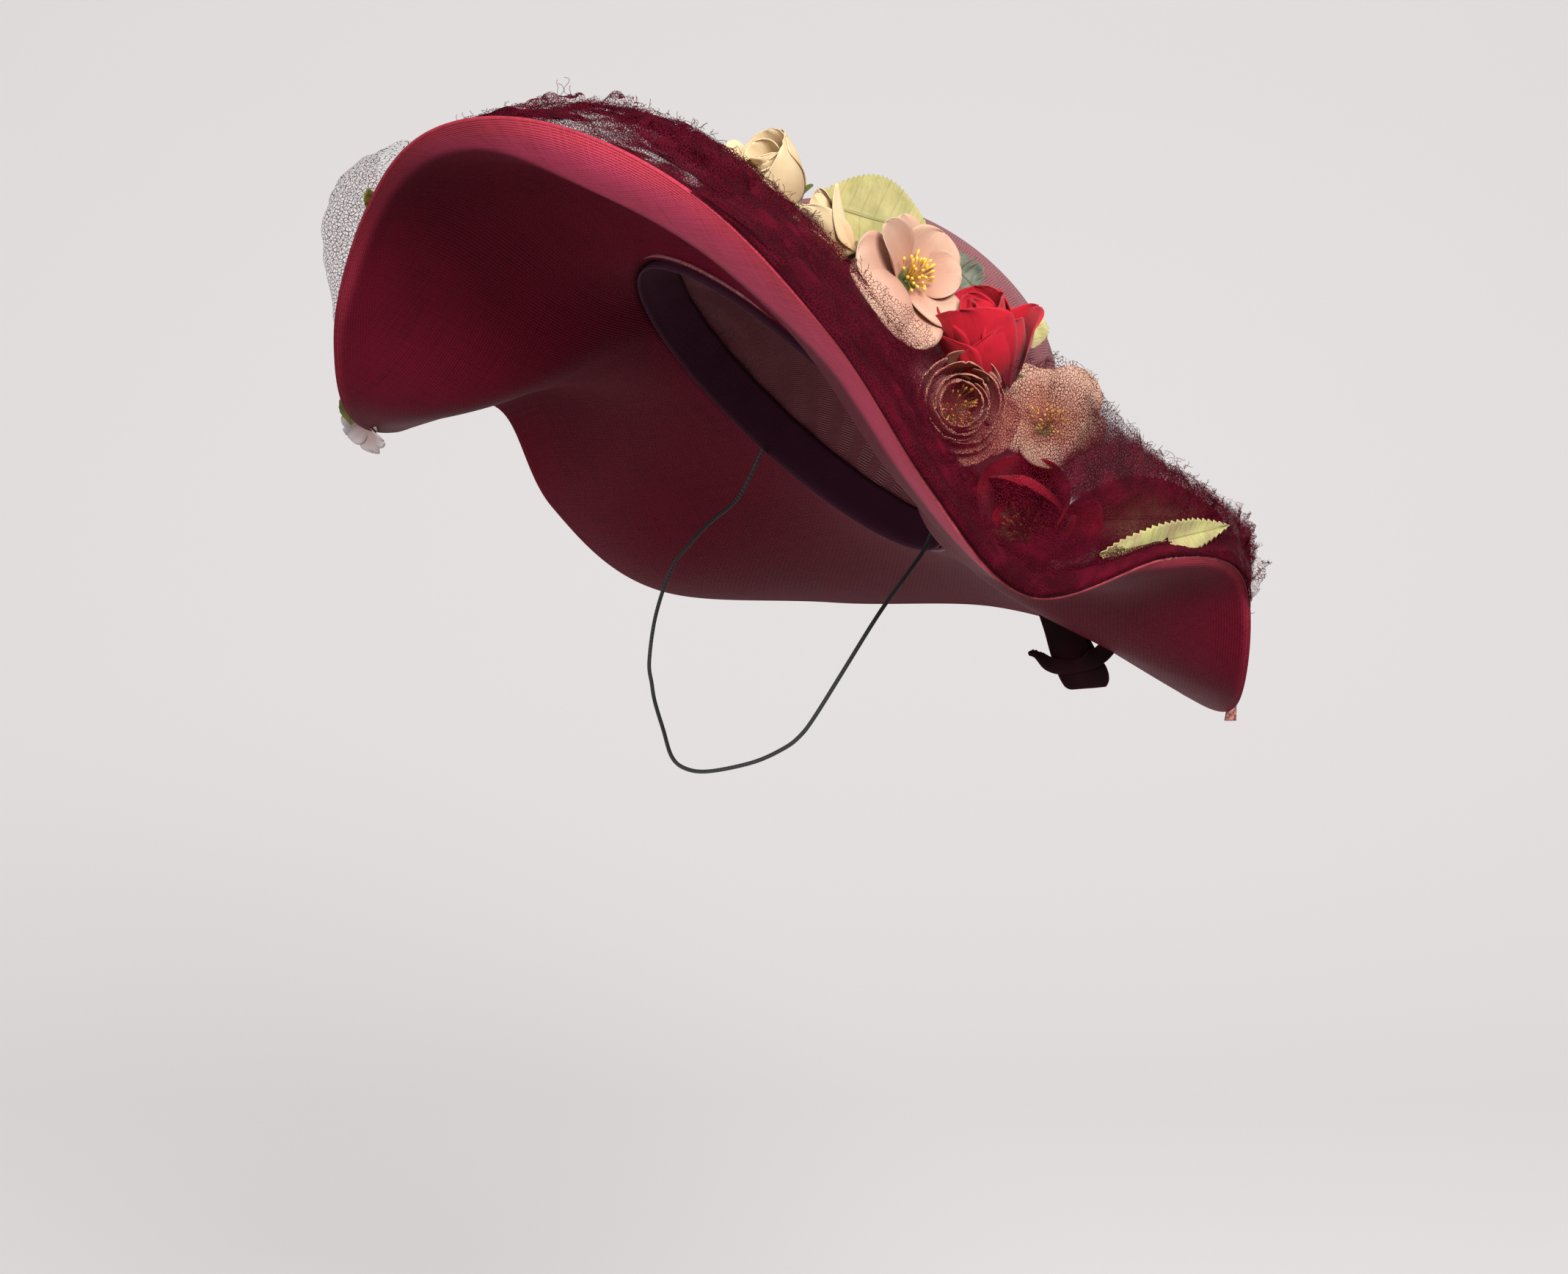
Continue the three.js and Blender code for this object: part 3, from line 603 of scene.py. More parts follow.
def makeHeadRibbon():
    finish = Finish("grosgrain", Roughness=0.75, Specular_IOR_Level=0.2)
    flat, sides = finish.flat()
    ribs = abs(finish.maths("SINE", sides[0] * (math.pi / headRibbon["rib"])))
    worn = finish.noise(flat, 0.08, 3)
    finish.set("Base Color", finish.mixed(ribs * 0.6 + worn * 0.4, headRibbon["dark"], headRibbon["lit"]))
    finish.bump(ribs, 0.5, 0.0004)
    angle = np.arange(headRibbon["around"]) * 360 / headRibbon["around"]
    height = np.linspace(headRibbon["low"], headRibbon["high"], 12)
    pucker = 0.35 * np.sin(np.radians(angle * 23)) * smoothStep(height, 4, 18)[:, None]
    grid = crownPoint(angle[None, :], np.maximum(height, 0)[:, None], pucker - headRibbon["inset"])
    grid[..., 2] = height[:, None]
    laid = np.radians(angle) * 0.5 * (brim["halfWide"] + brim["halfLong"])
    flat = np.stack(np.broadcast_arrays(laid[None, :], height[:, None]), -1)
    shape = Shape()
    shape.addWall(grid, headRibbon["thick"], True, flat)
    made = shape.made("grosgrain_ribbon", finish, "velvet")
    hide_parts("head_ribbon")


makeHeadRibbon()
print("straw and head ribbon made")


# Silk flowers

def cameraFrame():
    # Right, up and towards the camera in the hat's own frame
    return [axis @ hatTurn for axis in (lookRight, lookUp, -lookAlong)]


def facing(tip, clock):
    # Turned away from the camera by tip, towards a clock direction of the picture
    right, up, near = cameraFrame()
    tip, clock = math.radians(tip), math.radians(clock)
    return near * math.cos(tip) + (right * math.sin(clock) + up * math.cos(clock)) * math.sin(tip)


def flowerFrame(flower):
    # Columns are the flower's own right, up and axis
    axis = unit(facing(*flower["faces"]))
    right = cameraFrame()[0]
    across = unit(right - axis * (right @ axis))
    return np.stack([across, np.cross(axis, across), axis], 1)


def petalGrid(cut, rows=18, columns=15):
    # A petal in the flower's frame; clock 0 points up and 90 to the right
    t = np.linspace(0, 1, rows)
    v = 1 - (1 - t) ** 1.5
    s = np.linspace(-1, 1, columns)
    length, width = cut["length"], cut["width"]
    slope = np.radians(cut["lean"] + cut["curl"] * v ** cut.get("late", 1.5))
    step = np.diff(v, prepend=0) * length
    out = cut["base"] + np.cumsum(step * np.sin(slope))
    up = cut.get("raise", 0) + np.cumsum(step * np.cos(slope))
    widest = cut["widest"]
    rounded = np.sqrt(np.clip(1 - (np.clip(v - widest, 0, 1) / (1.003 - widest)) ** 2, 0.004, 1))
    narrow = cut.get("narrow", 0.3)
    swell = narrow + (1 - narrow) * np.sin(np.clip(v / widest, 0, 1) * math.pi / 2) ** 1.2
    half = 0.5 * width * np.where(v > widest, rounded, swell)
    notch = cut.get("notch", 0) * smoothStep(v, 0.8, 1)[:, None] * np.exp(-(s / 0.25) ** 2)
    cup = math.radians(cut["cup"])
    bendRadius = 0.5 * width / (cup if abs(cup) > 0.02 else 0.02)
    turn = s[None, :] * half[:, None] / bendRadius
    side = bendRadius * np.sin(turn)
    inward = bendRadius * (1 - np.cos(turn))
    rim = np.clip((v - 0.72) / 0.28, 0, 1)[:, None] ** 2 + \
        np.clip((np.abs(s) - 0.6) / 0.4, 0, 1) ** 2 * (v * half / half.max())[:, None]
    phase = cut.get("seed", 0) * 1.7
    ripple = np.sin(s * 5 + phase) * 0.6 + np.sin(s * 9 + phase * 2.3 + v[:, None] * 4) * 0.4
    outward = cut.get("roll", 0) * rim - inward + \
        cut.get("ruffle", 0.6) * ripple * smoothStep(v, 0.15, 1)[:, None]
    across = np.cos(slope)[:, None]
    down = np.sin(slope)[:, None]
    far = out[:, None] + outward * across - notch * down
    high = up[:, None] - outward * down - notch * across
    clock = math.radians(cut["clock"])
    x = far * math.sin(clock) + side * math.cos(clock)
    y = far * math.cos(clock) - side * math.sin(clock)
    place = np.stack([x, y, high], -1)
    return place, v[:, None], s[None, :], half


def petal(clock, lean, curl, length, width, cup, base, **more):
    return {
        "clock": clock, "lean": lean, "curl": curl, "length": length, "width": width, "cup": cup,
        "base": base, **more,
    }


def addPetals(shape, flower):
    frame = flowerFrame(flower)
    base = np.asarray(flower["at"], float) - frame[:, 2] * flower["sink"]
    for number, given in enumerate(flower["petals"]):
        cut = {"seed": number + 1, "widest": flower.get("widest", 0.62), **given}
        grid, along, across, half = petalGrid(cut)
        grid = grid * flower["size"] @ frame.T + base
        flat = np.stack(np.broadcast_arrays(across * half[:, None], along * cut["length"]), -1)
        shape.addWall(
            grid, flower.get("thick", 0.35), False, flat, along=along, across=np.abs(across),
            tone=(number * 0.618) % 1,
        )
    return frame, base


def ring(count, clock=0.0, spread=0.0, **cut):
    # Even petals round the flower, each a little different in lean and length
    made = []
    for number in range(count):
        wobble = math.sin(number * 2.4 + clock)
        made.append({
            **cut,
            "clock": clock + number * 360 / count + wobble * 6,
            "lean": cut["lean"] + wobble * spread,
            "length": cut["length"] * (1 + 0.05 * math.cos(number * 1.9 + clock)),
        })
    return made


def petalFinish(name, inner, outer, edge, edgeShare=0.93, stain=0.0, glow=0.0):
    finish = Finish(
        name, Roughness=0.75, Sheen_Weight=0.08, Specular_IOR_Level=0.2, Subsurface_Weight=glow,
        Subsurface_Radius=(0.004, 0.002, 0.0015),
    )
    x, y = finish.flat()[1]
    along, across = finish.value("along"), finish.value("across")
    cloud = finish.noise(finish.place(), 90, 3)
    fine = finish.noise(finish.place(), 420, 2)
    veins = finish.noise(finish.vector(x * 0.9, y * 0.09), 1.0, 2)
    tone = finish.value("tone")
    # Towards the base the petal turns to its heart colour, darker there as painted shade in the flower's
    # heart
    share = finish.between(along + cloud * 0.3 - 0.15 + (tone - 0.5) * 0.25, 0.05, 0.9)
    color = finish.mixed(share, inner, outer)
    border = finish.maths("MAXIMUM", along, across * along)
    worn = finish.between(border + (cloud - 0.5) * 0.12, edgeShare, edgeShare + 0.07)
    color = finish.mixed(worn * (0.55 + stain), color, edge)
    color = finish.mixed((1 - finish.between(cloud, 0.3, 0.5)) * 0.25, color, inner)
    color = finish.mixed(finish.between(veins, 0.56, 0.75) * 0.14, color, edge)
    finish.set("Base Color", color)
    finish.bump(veins * 0.7 + fine * 0.3, 0.35, 0.0006)
    return finish


def addCalyx(shape, frame, base, size, end):
    # Green cup of five points under the petals, and a wired stem
    for number in range(5):
        point = {
            "clock": number * 72 + 20, "lean": 62, "curl": 22, "length": 10, "width": 5.5, "cup": 30,
            "base": 1.0, "raise": -1.2, "widest": 0.35, "narrow": 0.6, "ruffle": 0.2,
        }
        grid, along = petalGrid(point, 9, 7)[:2]
        shape.addWall(grid * size @ frame.T + base, 0.4, along=along)
    middle = (base + end) / 2 - frame[:, 2] * 3
    shape.addTube(curveThrough([base, middle, end], np.linspace(0, 1, 12)), 0.9, 8)


# Points of the flowers and leaves, which the veil lies over
trimmings = []


def makeFlower(name, flower, finish, slot, nodes, stem):
    shape = Shape()
    frame, base = addPetals(shape, flower)
    made = shape.made(name, finish, slot)
    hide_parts(*nodes)
    trimmings.extend(shape.points)
    green = Shape()
    addCalyx(green, frame, base, flower["size"], np.array(stem, float))
    green.made(name + "_calyx", calyxFinish, slot)
    return frame, base


def leafFinish(name, pale, deep, vein):
    finish = Finish(name, Roughness=0.55, Specular_IOR_Level=0.25)
    length = finish.flat()[1][1]
    cloud = finish.noise(finish.place(), 70, 4, 0.6)
    fine = finish.noise(finish.place(), 600, 2)
    across = finish.value("across")
    ribs = finish.maths("FRACT", length * 0.17 - across * 0.55)
    ribs = 1 - finish.between(abs(ribs - 0.5), 0.0, 0.09)
    midrib = 1 - finish.between(across, 0.02, 0.07)
    veins = finish.maths("MAXIMUM", ribs * 0.55, midrib)
    color = finish.mixed(finish.between(cloud, 0.35, 0.65), deep, pale)
    color = finish.mixed(veins * 0.35, color, vein)
    color = finish.mixed(finish.between(across, 0.88, 1.0) * 0.5, color, pale)
    finish.set("Base Color", color)
    finish.bump(fine * 0.3 - veins * 0.7, 0.4, 0.0006)
    return finish


calyxFinish = leafFinish("calyx", (0.20, 0.24, 0.07), (0.09, 0.12, 0.03), (0.05, 0.06, 0.02))

redRose = {
    "at": (90.5, -9.5, 51), "faces": (64, -20), "sink": 21, "size": 1.1, "thick": 0.4, "widest": 0.74,
    "petals": [
        # closed heart with a pointed top
        petal(200, 2, -16, 38, 26, 100, 3, widest=0.5),
        petal(60, 2, -14, 37, 26, 100, 3, widest=0.5),
        petal(320, 5, -18, 40, 28, 95, 3, widest=0.45),
        # cupped petals that overlap round it
        petal(10, 18, -24, 39, 38, 76, 4, roll=0.8),
        petal(90, 22, -24, 37, 40, 74, 4, roll=1.0),
        petal(280, 26, -34, 40, 40, 70, 4, roll=0.6),
        petal(200, 30, -40, 42, 42, 66, 4, roll=0.6),
        petal(145, 42, -52, 31, 38, 60, 4, roll=1.2),
        petal(250, 42, -50, 34, 36, 60, 4, roll=1.0),
        petal(70, 50, -30, 31, 32, 56, 4, roll=2.6),
    ],
}

pinkBlossom = {
    "at": (72.6, -45.2, 54.4), "faces": (34, 60), "sink": 9, "size": 0.92,
    "petals": [
        petal(336, 52, 6, 27, 19, 38, 4, roll=1),
        petal(30, 44, 10, 24, 30, 34, 4, roll=1),
        petal(88, 38, 6, 22, 26, 40, 4, roll=1),
        petal(150, 46, 24, 29, 24, 30, 4, roll=2),
        petal(186, 58, 20, 38, 28, 24, 4, roll=2),
        petal(262, 56, 16, 36, 34, 20, 4, narrow=0.6),
        petal(303, 48, 4, 31, 24, 62, 4, narrow=0.5),
        petal(226, 24, 64, 42, 46, -36, 4, roll=1.0, late=0.8, narrow=0.7),
    ],
}

darkRose = {
    "at": (100.5, 55.0, 13.5), "faces": (24, 0), "sink": 11, "size": 1.2, "thick": 0.4, "widest": 0.76,
    "petals": ring(4, 40, 0, lean=86, curl=-40, length=14, width=17, cup=20, base=0.5) + [
        petal(30, 14, -80, 28, 36, 46, 9, late=2.0),
        petal(310, 24, -14, 23, 34, 62, 9, roll=1),
        petal(232, 28, -8, 25, 35, 60, 9, roll=1.5),
        petal(160, 28, -4, 25, 35, 60, 9, roll=1.5),
        petal(88, 24, -30, 28, 36, 62, 9, roll=1),
        petal(120, 44, 2, 27, 32, 46, 8, roll=2),
        petal(195, 44, 4, 25, 32, 46, 8, roll=2),
        petal(270, 44, 4, 26, 32, 46, 8, roll=2),
        petal(345, 30, -14, 22, 34, 54, 8, roll=1),
    ],
}

beigeBlossom = {
    "at": (94.0, 37.6, 52.0), "faces": (32, 10), "sink": 9, "size": 0.8,
    "petals": [
        petal(318, 34, 64, 36, 38, -30, 4, narrow=0.5),
        petal(42, 36, 60, 36, 36, -30, 4, narrow=0.5),
        petal(110, 50, 36, 31, 30, -20, 4, roll=1),
        petal(180, 60, 20, 30, 32, 20, 4, roll=2),
        petal(250, 52, 30, 31, 32, -16, 4, roll=1),
        petal(0, 58, 10, 28, 34, 20, 4),
    ],
}

ranunculus = {
    "at": (98.0, -6.6, 21.5), "faces": (20, 95), "sink": 9, "size": 0.95, "widest": 0.76,
    "petals": ring(4, 40, 0, lean=86, curl=-40, length=14, width=17, cup=20, base=0.5)
    + ring(4, 10, 1, lean=14, curl=-30, length=17, width=27, cup=80, base=9.5)
    + ring(5, 40, 2, lean=24, curl=-34, length=19, width=29, cup=76, base=10)
    + ring(5, 75, 2, lean=36, curl=-36, length=20, width=30, cup=58, base=10.5)
    + ring(5, 20, 3, lean=50, curl=-34, length=20, width=30, cup=40, base=10.5)
    + [petal(165, 58, -20, 23, 36, 56, 9, roll=1),
       petal(115, 66, -4, 24, 30, 44, 9, roll=1)],
}

creamRosebud = {
    "at": (3.0, -88.9, 59.0), "faces": (56, -40), "sink": 18, "size": 1.0, "thick": 0.45,
    "petals": [
        petal(90, 6, -20, 24, 22, 120, 2.5, widest=0.8),
        petal(210, 8, -16, 29, 24, 110, 3, widest=0.8, roll=1.5),
        petal(330, 12, -20, 31, 28, 110, 3, widest=0.8),
        petal(160, 18, -24, 27, 28, 95, 3.5, widest=0.8, roll=1.8),
        petal(200, 24, -24, 27, 30, 90, 4, widest=0.8, roll=1.8),
        petal(20, 24, -28, 30, 38, 85, 4.5, widest=0.8, roll=1.8),
        petal(104, 34, -46, 30, 46, 76, 4.5, widest=0.8, roll=1.0),
        petal(262, 42, -34, 38, 50, 72, 4.5, widest=0.76, roll=3.0),
    ],
}

creamBud = {
    "at": (51.5, -78.1, 45.1), "faces": (76, -36), "sink": 14, "size": 1.0,
    "petals": [
        petal(150, 3, 2, 30, 17, 80, 2, widest=0.4),
        petal(250, 5, 6, 31, 18, 75, 2.5, widest=0.4),
        petal(30, 6, 8, 30, 18, 75, 2.5, widest=0.38),
        petal(100, 14, 10, 30, 18, 55, 3, widest=0.35),
        petal(200, 12, 10, 31, 19, 60, 3, widest=0.36),
        petal(290, 12, 14, 28, 17, 55, 3, widest=0.35),
    ],
}

paleBlossom = {
    "at": (-149, -69, -114), "faces": (60, 215), "sink": 6, "size": 0.52,
    "petals": ring(5, 15, 6, lean=46, curl=30, length=25, width=23, cup=36, base=3, roll=2, notch=2),
}

silk = {
    # colour at the heart, which is darker as painted shade where the petals close over it, then over the
    # petal and along its edge
    "red": petalFinish(
        "silk_red", (0.17, 0.001, 0.006), (0.50, 0.008, 0.023), (0.20, 0.003, 0.010), glow=0.04),
    "pink": petalFinish(
        "silk_pink", (0.47, 0.235, 0.165), (0.51, 0.31, 0.22), (0.48, 0.35, 0.24), glow=0.06),
    "darkRed": petalFinish(
        "silk_dark_red", (0.07, 0.0006, 0.004), (0.46, 0.006, 0.024), (0.36, 0.005, 0.020)),
    "beige": petalFinish(
        "silk_beige", (0.34, 0.15, 0.095), (0.46, 0.28, 0.20), (0.44, 0.25, 0.15), glow=0.04),
    "rose": petalFinish("silk_old_rose", (0.22, 0.055, 0.032), (0.40, 0.15, 0.105), (0.50, 0.24, 0.17)),
    "cream": petalFinish(
        "silk_cream", (0.58, 0.38, 0.20), (0.64, 0.49, 0.29), (0.54, 0.32, 0.16), 0.97, 0.1, glow=0.06),
    "pale": petalFinish("silk_pale", (0.50, 0.34, 0.32), (0.66, 0.55, 0.54), (0.58, 0.42, 0.40), glow=0.04),
}


def makeFlowers():
    makeFlower("rose_red", redRose, silk["red"], "silk_red", ["red_rose"], (56, 4, 48))
    pink = makeFlower(
        "blossom_pink", pinkBlossom, silk["pink"], "silk_pink", ["pink_blossom"], (54, -38, 38))
    dark = makeFlower(
        "rose_dark_red", darkRose, silk["darkRed"], "silk_dark_red", ["dark_red_rose"], (68, 36, 14))
    gold = makeFlower(
        "blossom_beige", beigeBlossom, silk["beige"], "silk_beige", ["beige_blossom"], (64, 34, 42))
    small = makeFlower(
        "ranunculus", ranunculus, silk["rose"], "silk_beige", ["beige_ranunculus"], (72, -4, 14))
    makeFlower(
        "rosebud_cream", creamRosebud, silk["cream"], "silk_cream", ["cream_rosebud"], (10, -66, 44))
    makeFlower("bud_cream", creamBud, silk["cream"], "silk_cream", ["cream_bud"], (40, -62, 34))
    makeFlower(
        "blossom_pale", paleBlossom, silk["pale"], "silk_pale", ["pale_blossom"], (-143.5, -70.8, -107.8))
    return {
        "pink_stamens": pink, "dark_rose_stamens": dark, "ranunculus_stamens": small,
        "beige_stamens": gold,
    }


bases = makeFlowers()
print("flowers made")

# Stamens: thin filaments with club tips, standing out of the open flowers
stamens = {
    "pink_stamens": {
        "count": 30, "spread": 46, "length": 11, "foot": 2.0, "tip": 0.85, "rise": 2, "lean": (0, 0),
        "pale": (0.80, 0.52, 0.08), "deep": (0.62, 0.34, 0.03),
    },
    "dark_rose_stamens": {
        "count": 44, "spread": 62, "length": 13, "foot": 3.0, "tip": 0.7, "rise": 1, "lean": (3, -5),
        "pale": (0.42, 0.17, 0.06), "deep": (0.20, 0.06, 0.02),
    },
    "ranunculus_stamens": {
        "count": 46, "spread": 52, "length": 12, "foot": 3.5, "tip": 0.65, "rise": 2, "lean": (1, -1),
        "pale": (0.60, 0.30, 0.06), "deep": (0.28, 0.11, 0.02),
    },
    "beige_stamens": {
        "count": 26, "spread": 50, "length": 9, "foot": 2.5, "tip": 0.7, "rise": 4, "lean": (0, -2),
        "solid": False,
        "pale": (0.66, 0.38, 0.10), "deep": (0.36, 0.16, 0.04),
    },
}


def makeStamens(node, place):
    bunch = stamens[node]
    frame, base = place
    draw = np.random.default_rng(len(node) * 7 + bunch["count"])
    finish = Finish(node + "_finish", Roughness=0.55)
    cloud = finish.noise(finish.place(), 500, 2)
    share = finish.between(finish.value("along"), 0.35, 0.75) * (0.6 + cloud * 0.6)
    finish.set("Base Color", finish.mixed(share, bunch["deep"], bunch["pale"]))
    finish.bump(cloud, 0.3, 0.0003)
    shape = Shape()
    for number in range(bunch["count"]):
        turn = number * 2.39996 + draw.uniform(-0.3, 0.3)
        out = math.sqrt((number + 0.5) / bunch["count"])
        tilt = math.radians(bunch["spread"]) * out * draw.uniform(0.75, 1.1)
        foot = np.array([math.cos(turn) * out, math.sin(turn) * out, 0]) * bunch["foot"]
        foot += [bunch["lean"][0], bunch["lean"][1], bunch["rise"]]
        sideways = [math.cos(turn) * math.sin(tilt), math.sin(turn) * math.sin(tilt)]
        aim = np.array([*sideways, math.cos(tilt)])
        reach = bunch["length"] * draw.uniform(0.8, 1.12)
        middle = foot + aim * reach * 0.5 + draw.normal(0, 0.45, 3)
        tip = foot + aim * reach + draw.normal(0, 0.5, 3)
        along = np.linspace(0, 1, 9)
        path = curveThrough([foot, middle, tip], along)
        club = np.interp(along, [0, 0.55, 0.7, 0.85, 0.96, 1], [0.2, 0.2, 0.35, 1, 0.85, 0.3])
        shape.addTube(path @ frame.T + base, bunch["tip"] * club, 6)
    made = shape.made(node + "_bunch", finish, "stamens")
    if bunch.get("solid", True):
        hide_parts(node)


for node, place in bases.items():
    makeStamens(node, place)
print("stamens made")

# Leaves: root, tip and lift of the middle in the hat's frame, width, teeth on each side
leaves = {
    "green_leaf": {
        "root": (21.8, -73.8, 55.5), "tip": (53.1, -39.3, 76), "lift": 3, "width": 37, "teeth": 26,
        "finish": "green", "slot": "leaf_green", "wire": True, "faces": 0.55,
    },
    "grey_leaf": {
        "root": (60.2, -2.2, 75.2), "tip": (44.6, -24.6, 78.9), "lift": 1.5, "width": 16, "teeth": 9,
        "finish": "grey", "slot": "leaf_grey", "wire": False, "faces": 0.7, "ragged": 0.3,
    },
    "rose_leaf": {
        "root": (73.4, 23.5, 73.1), "tip": (71.4, 15.9, 86.2), "lift": 1.5, "width": 12, "teeth": 8,
        "finish": "light", "slot": "leaf_green", "wire": False, "faces": 0.7,
    },
    "beige_leaf": {
        "root": (107.4, 69.8, 25.5), "tip": (155.9, 96.1, 61.1), "lift": 4, "width": 38, "teeth": 26,
        "finish": "beige", "slot": "leaf_beige", "wire": True, "faces": 0.8,
    },
    "light_leaf": {
        "root": (191.4, 26.5, -6.5), "tip": (166.9, 90.6, 55.6), "lift": 2, "width": 16, "teeth": 22,
        "toothed": 0.2,
        "finish": "light", "slot": "leaf_green", "wire": False, "faces": 0.8,
    },
    "brown_leaf": {
        "root": (102.4, 36.3, -13.2), "tip": (110.9, 57.8, -3.5), "lift": 2, "width": 13, "teeth": 12,
        "finish": "brown", "slot": "leaf_brown", "wire": False, "faces": 0.8,
    },
    "front_leaf": {
        "root": (-71, -177.5, -61.5), "tip": (-67, -189, -59), "lift": 1, "width": 7, "teeth": 5,
        "finish": "olive", "slot": "leaf_olive", "wire": False, "faces": 0.9,
    },
    "far_leaf": {
        "root": (-127, -102, -111), "tip": (-146, -78, -115.5), "lift": 1, "width": 8, "teeth": 7,
        "finish": "olive", "slot": "leaf_olive", "wire": False, "faces": 0.9,
    },
}

leafCloth = {
    "green": leafFinish("leaf_green", (0.36, 0.305, 0.115), (0.25, 0.225, 0.075), (0.11, 0.10, 0.04)),
    "light": leafFinish("leaf_light", (0.42, 0.40, 0.15), (0.34, 0.26, 0.13), (0.14, 0.12, 0.05)),
    "grey": leafFinish("leaf_grey", (0.14, 0.15, 0.10), (0.06, 0.07, 0.05), (0.03, 0.03, 0.02)),
    "beige": leafFinish("leaf_beige", (0.42, 0.27, 0.15), (0.22, 0.11, 0.06), (0.10, 0.05, 0.03)),
    "brown": leafFinish("leaf_brown", (0.20, 0.11, 0.06), (0.08, 0.04, 0.025), (0.04, 0.02, 0.01)),
    "olive": leafFinish("leaf_olive", (0.19, 0.18, 0.02), (0.09, 0.09, 0.01), (0.05, 0.05, 0.02)),
}


def leafGrid(leaf, rows=130, columns=13):
    root, tip = np.array(leaf["root"], float), np.array(leaf["tip"], float)
    run = tip - root
    middle = (root + tip) / 2
    out = unit(np.array([middle[0], middle[1], max(middle[2] - 20, 10)]))
    out = out * (1 - leaf["faces"]) + cameraFrame()[2] * leaf["faces"]
    across = unit(np.cross(run, out))
    up = unit(np.cross(across, run))
    v = np.linspace(0, 1, rows)
    s = np.linspace(-1, 1, columns)
    outline = np.sin(math.pi * np.clip(v * 0.97 + 0.03, 0, 1)) ** 0.75
    teeth = (v * leaf["teeth"]) % 1
    ragged = leaf.get("ragged", 0) * np.sin(v * 37 + np.sin(v * 23) * 2) * outline
    deep = leaf.get("toothed", 0.09) * teeth * outline ** 0.3
    half = 0.5 * leaf["width"] * np.maximum(outline + ragged - deep, 0.015)
    arch = leaf["lift"] * np.sin(v * math.pi)[:, None] + 0.1 * leaf["width"] * np.abs(s) \
        + 0.03 * leaf["width"] * np.sin(v[:, None] * 9 + s * 3)
    grid = root + v[:, None, None] * run + (s * half[:, None])[..., None] * across + arch[..., None] * up
    flat = np.stack(np.broadcast_arrays(s * half[:, None], v[:, None] * np.linalg.norm(run)), -1)
    return grid, v[:, None], np.abs(s)[None, :], flat


def makeLeaf(name, leaf):
    grid, along, across, flat = leafGrid(leaf)
    shape = Shape()
    shape.addWall(grid, 0.35, False, flat, along=along, across=across)
    vein = grid[::6, grid.shape[1] // 2] + gridNormals(grid)[::6, grid.shape[1] // 2] * 0.25
    shape.addTube(vein, np.linspace(0.5, 0.2, len(vein)) if leaf["wire"] else 0.18, 6, across=0.0)
    made = shape.made(name + "_cloth", leafCloth[leaf["finish"]], leaf["slot"])
    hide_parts(name)
    if name != "light_leaf":
        trimmings.append(grid.reshape(-1, 3))


for name, leaf in leaves.items():
    makeLeaf(name, leaf)
print("leaves made")


# Net: gathered burgundy tulle over the left of the brim, and a puff on the far side.
# Angle, share of the brim where it starts, then reach and height of its crest and inner end.
netBand = np.array([
    (-16, 0.97, 198, -43, 175, -22), (2, 0.97, 201, -13, 168, -3), (20, 0.96, 195, 13, 150, 20),
    (38, 0.975, 180, 15, 148, 16), (56, 0.99, 172, 9, 150, 8), (74, 1.0, 172, 8, 150, 8),
    (90, 1.0, 174, 24, 150, 30), (104, 1.0, 168, 48, 142, 50), (118, 0.995, 166, 66, 136, 58),
    (132, 0.985, 178, 68, 150, 52), (146, 0.98, 206, 36, 184, 30),
], float)
netPuff = np.array([
    (308, 0.98, 158, -104, 142, -96), (319, 0.98, 184, -82, 155, -66),
    (331, 0.98, 209, -60, 173, -38), (343, 0.97, 206, -41, 186, -28),
], float)

tulle = {
    "cell": 1.5, "thread": 0.07, "sheerThread": 0.075, "puffCell": 2.0, "puffThread": 0.062,
    "lit": (0.082, 0.0018, 0.0095), "dark": (0.024, 0.0004, 0.003),
}


def netFinish(name, cell, thread):
    # Threads where two cells meet; more layers show where the cloth is gathered,
    # and the cloth is torn along its free edges
    finish = Finish(name, Roughness=0.8, Specular_IOR_Level=0.05)
    flat, (x, y) = finish.flat()
    gather = finish.value("gather")
    wander = finish.noise(flat, 0.12, 2)
    layers = [
        finish.vector(x + wander * 3, y + wander * 2),
        finish.vector(x * 0.8 - y * 0.6 + wander * 4, x * 0.6 + y * 0.8, 7),
        finish.vector(x * 0.5 + y * 0.87, y * 0.5 - x * 0.87 + wander * 5, 13),
    ]
    cells = [finish.cells(layer, 1 / cell) for layer in layers]
    first = 1 - finish.between(cells[0], thread * 0.6, thread * 1.3)
    second = 1 - finish.between(cells[1], thread, thread * 1.8)
    third = 1 - finish.between(cells[2], thread * 1.5, thread * 3)
    dense = finish.between(gather, 0.2, 0.6)
    denser = finish.between(gather, 0.5, 0.95)
    cover = 1 - (1 - first) * (1 - second * dense) * (1 - third * denser) * (1 - denser * 0.93)
    torn = finish.noise(flat, 0.25, 4, 0.7) * 9
    cover = cover * finish.between(finish.value("inside") + torn, 5.0, 5.6)
    cloud = finish.noise(flat, 0.06, 3)
    share = finish.between(cloud + (first - 0.5) * 0.25, 0.35, 0.65)
    finish.set("Base Color", finish.mixed(share, tulle["dark"], tulle["lit"]))
    finish.set("Alpha", cover)
    return finish


def waves(u, v, draw, count, slowest, fastest):
    # Smooth seeded waves over a cloth, about -1 to 1
    total = 0
    for number in range(count):
        speed = slowest * (fastest / slowest) ** (number / max(count - 1, 1))
        turn = draw.uniform(0, math.pi)
        phase = draw.uniform(0, 2 * math.pi)
        way = math.cos(turn) * u + math.sin(turn) * v
        total = total + np.sin(way * 2 * math.pi * speed + phase) / (1 + number * 0.35)
    return total / math.sqrt(count)


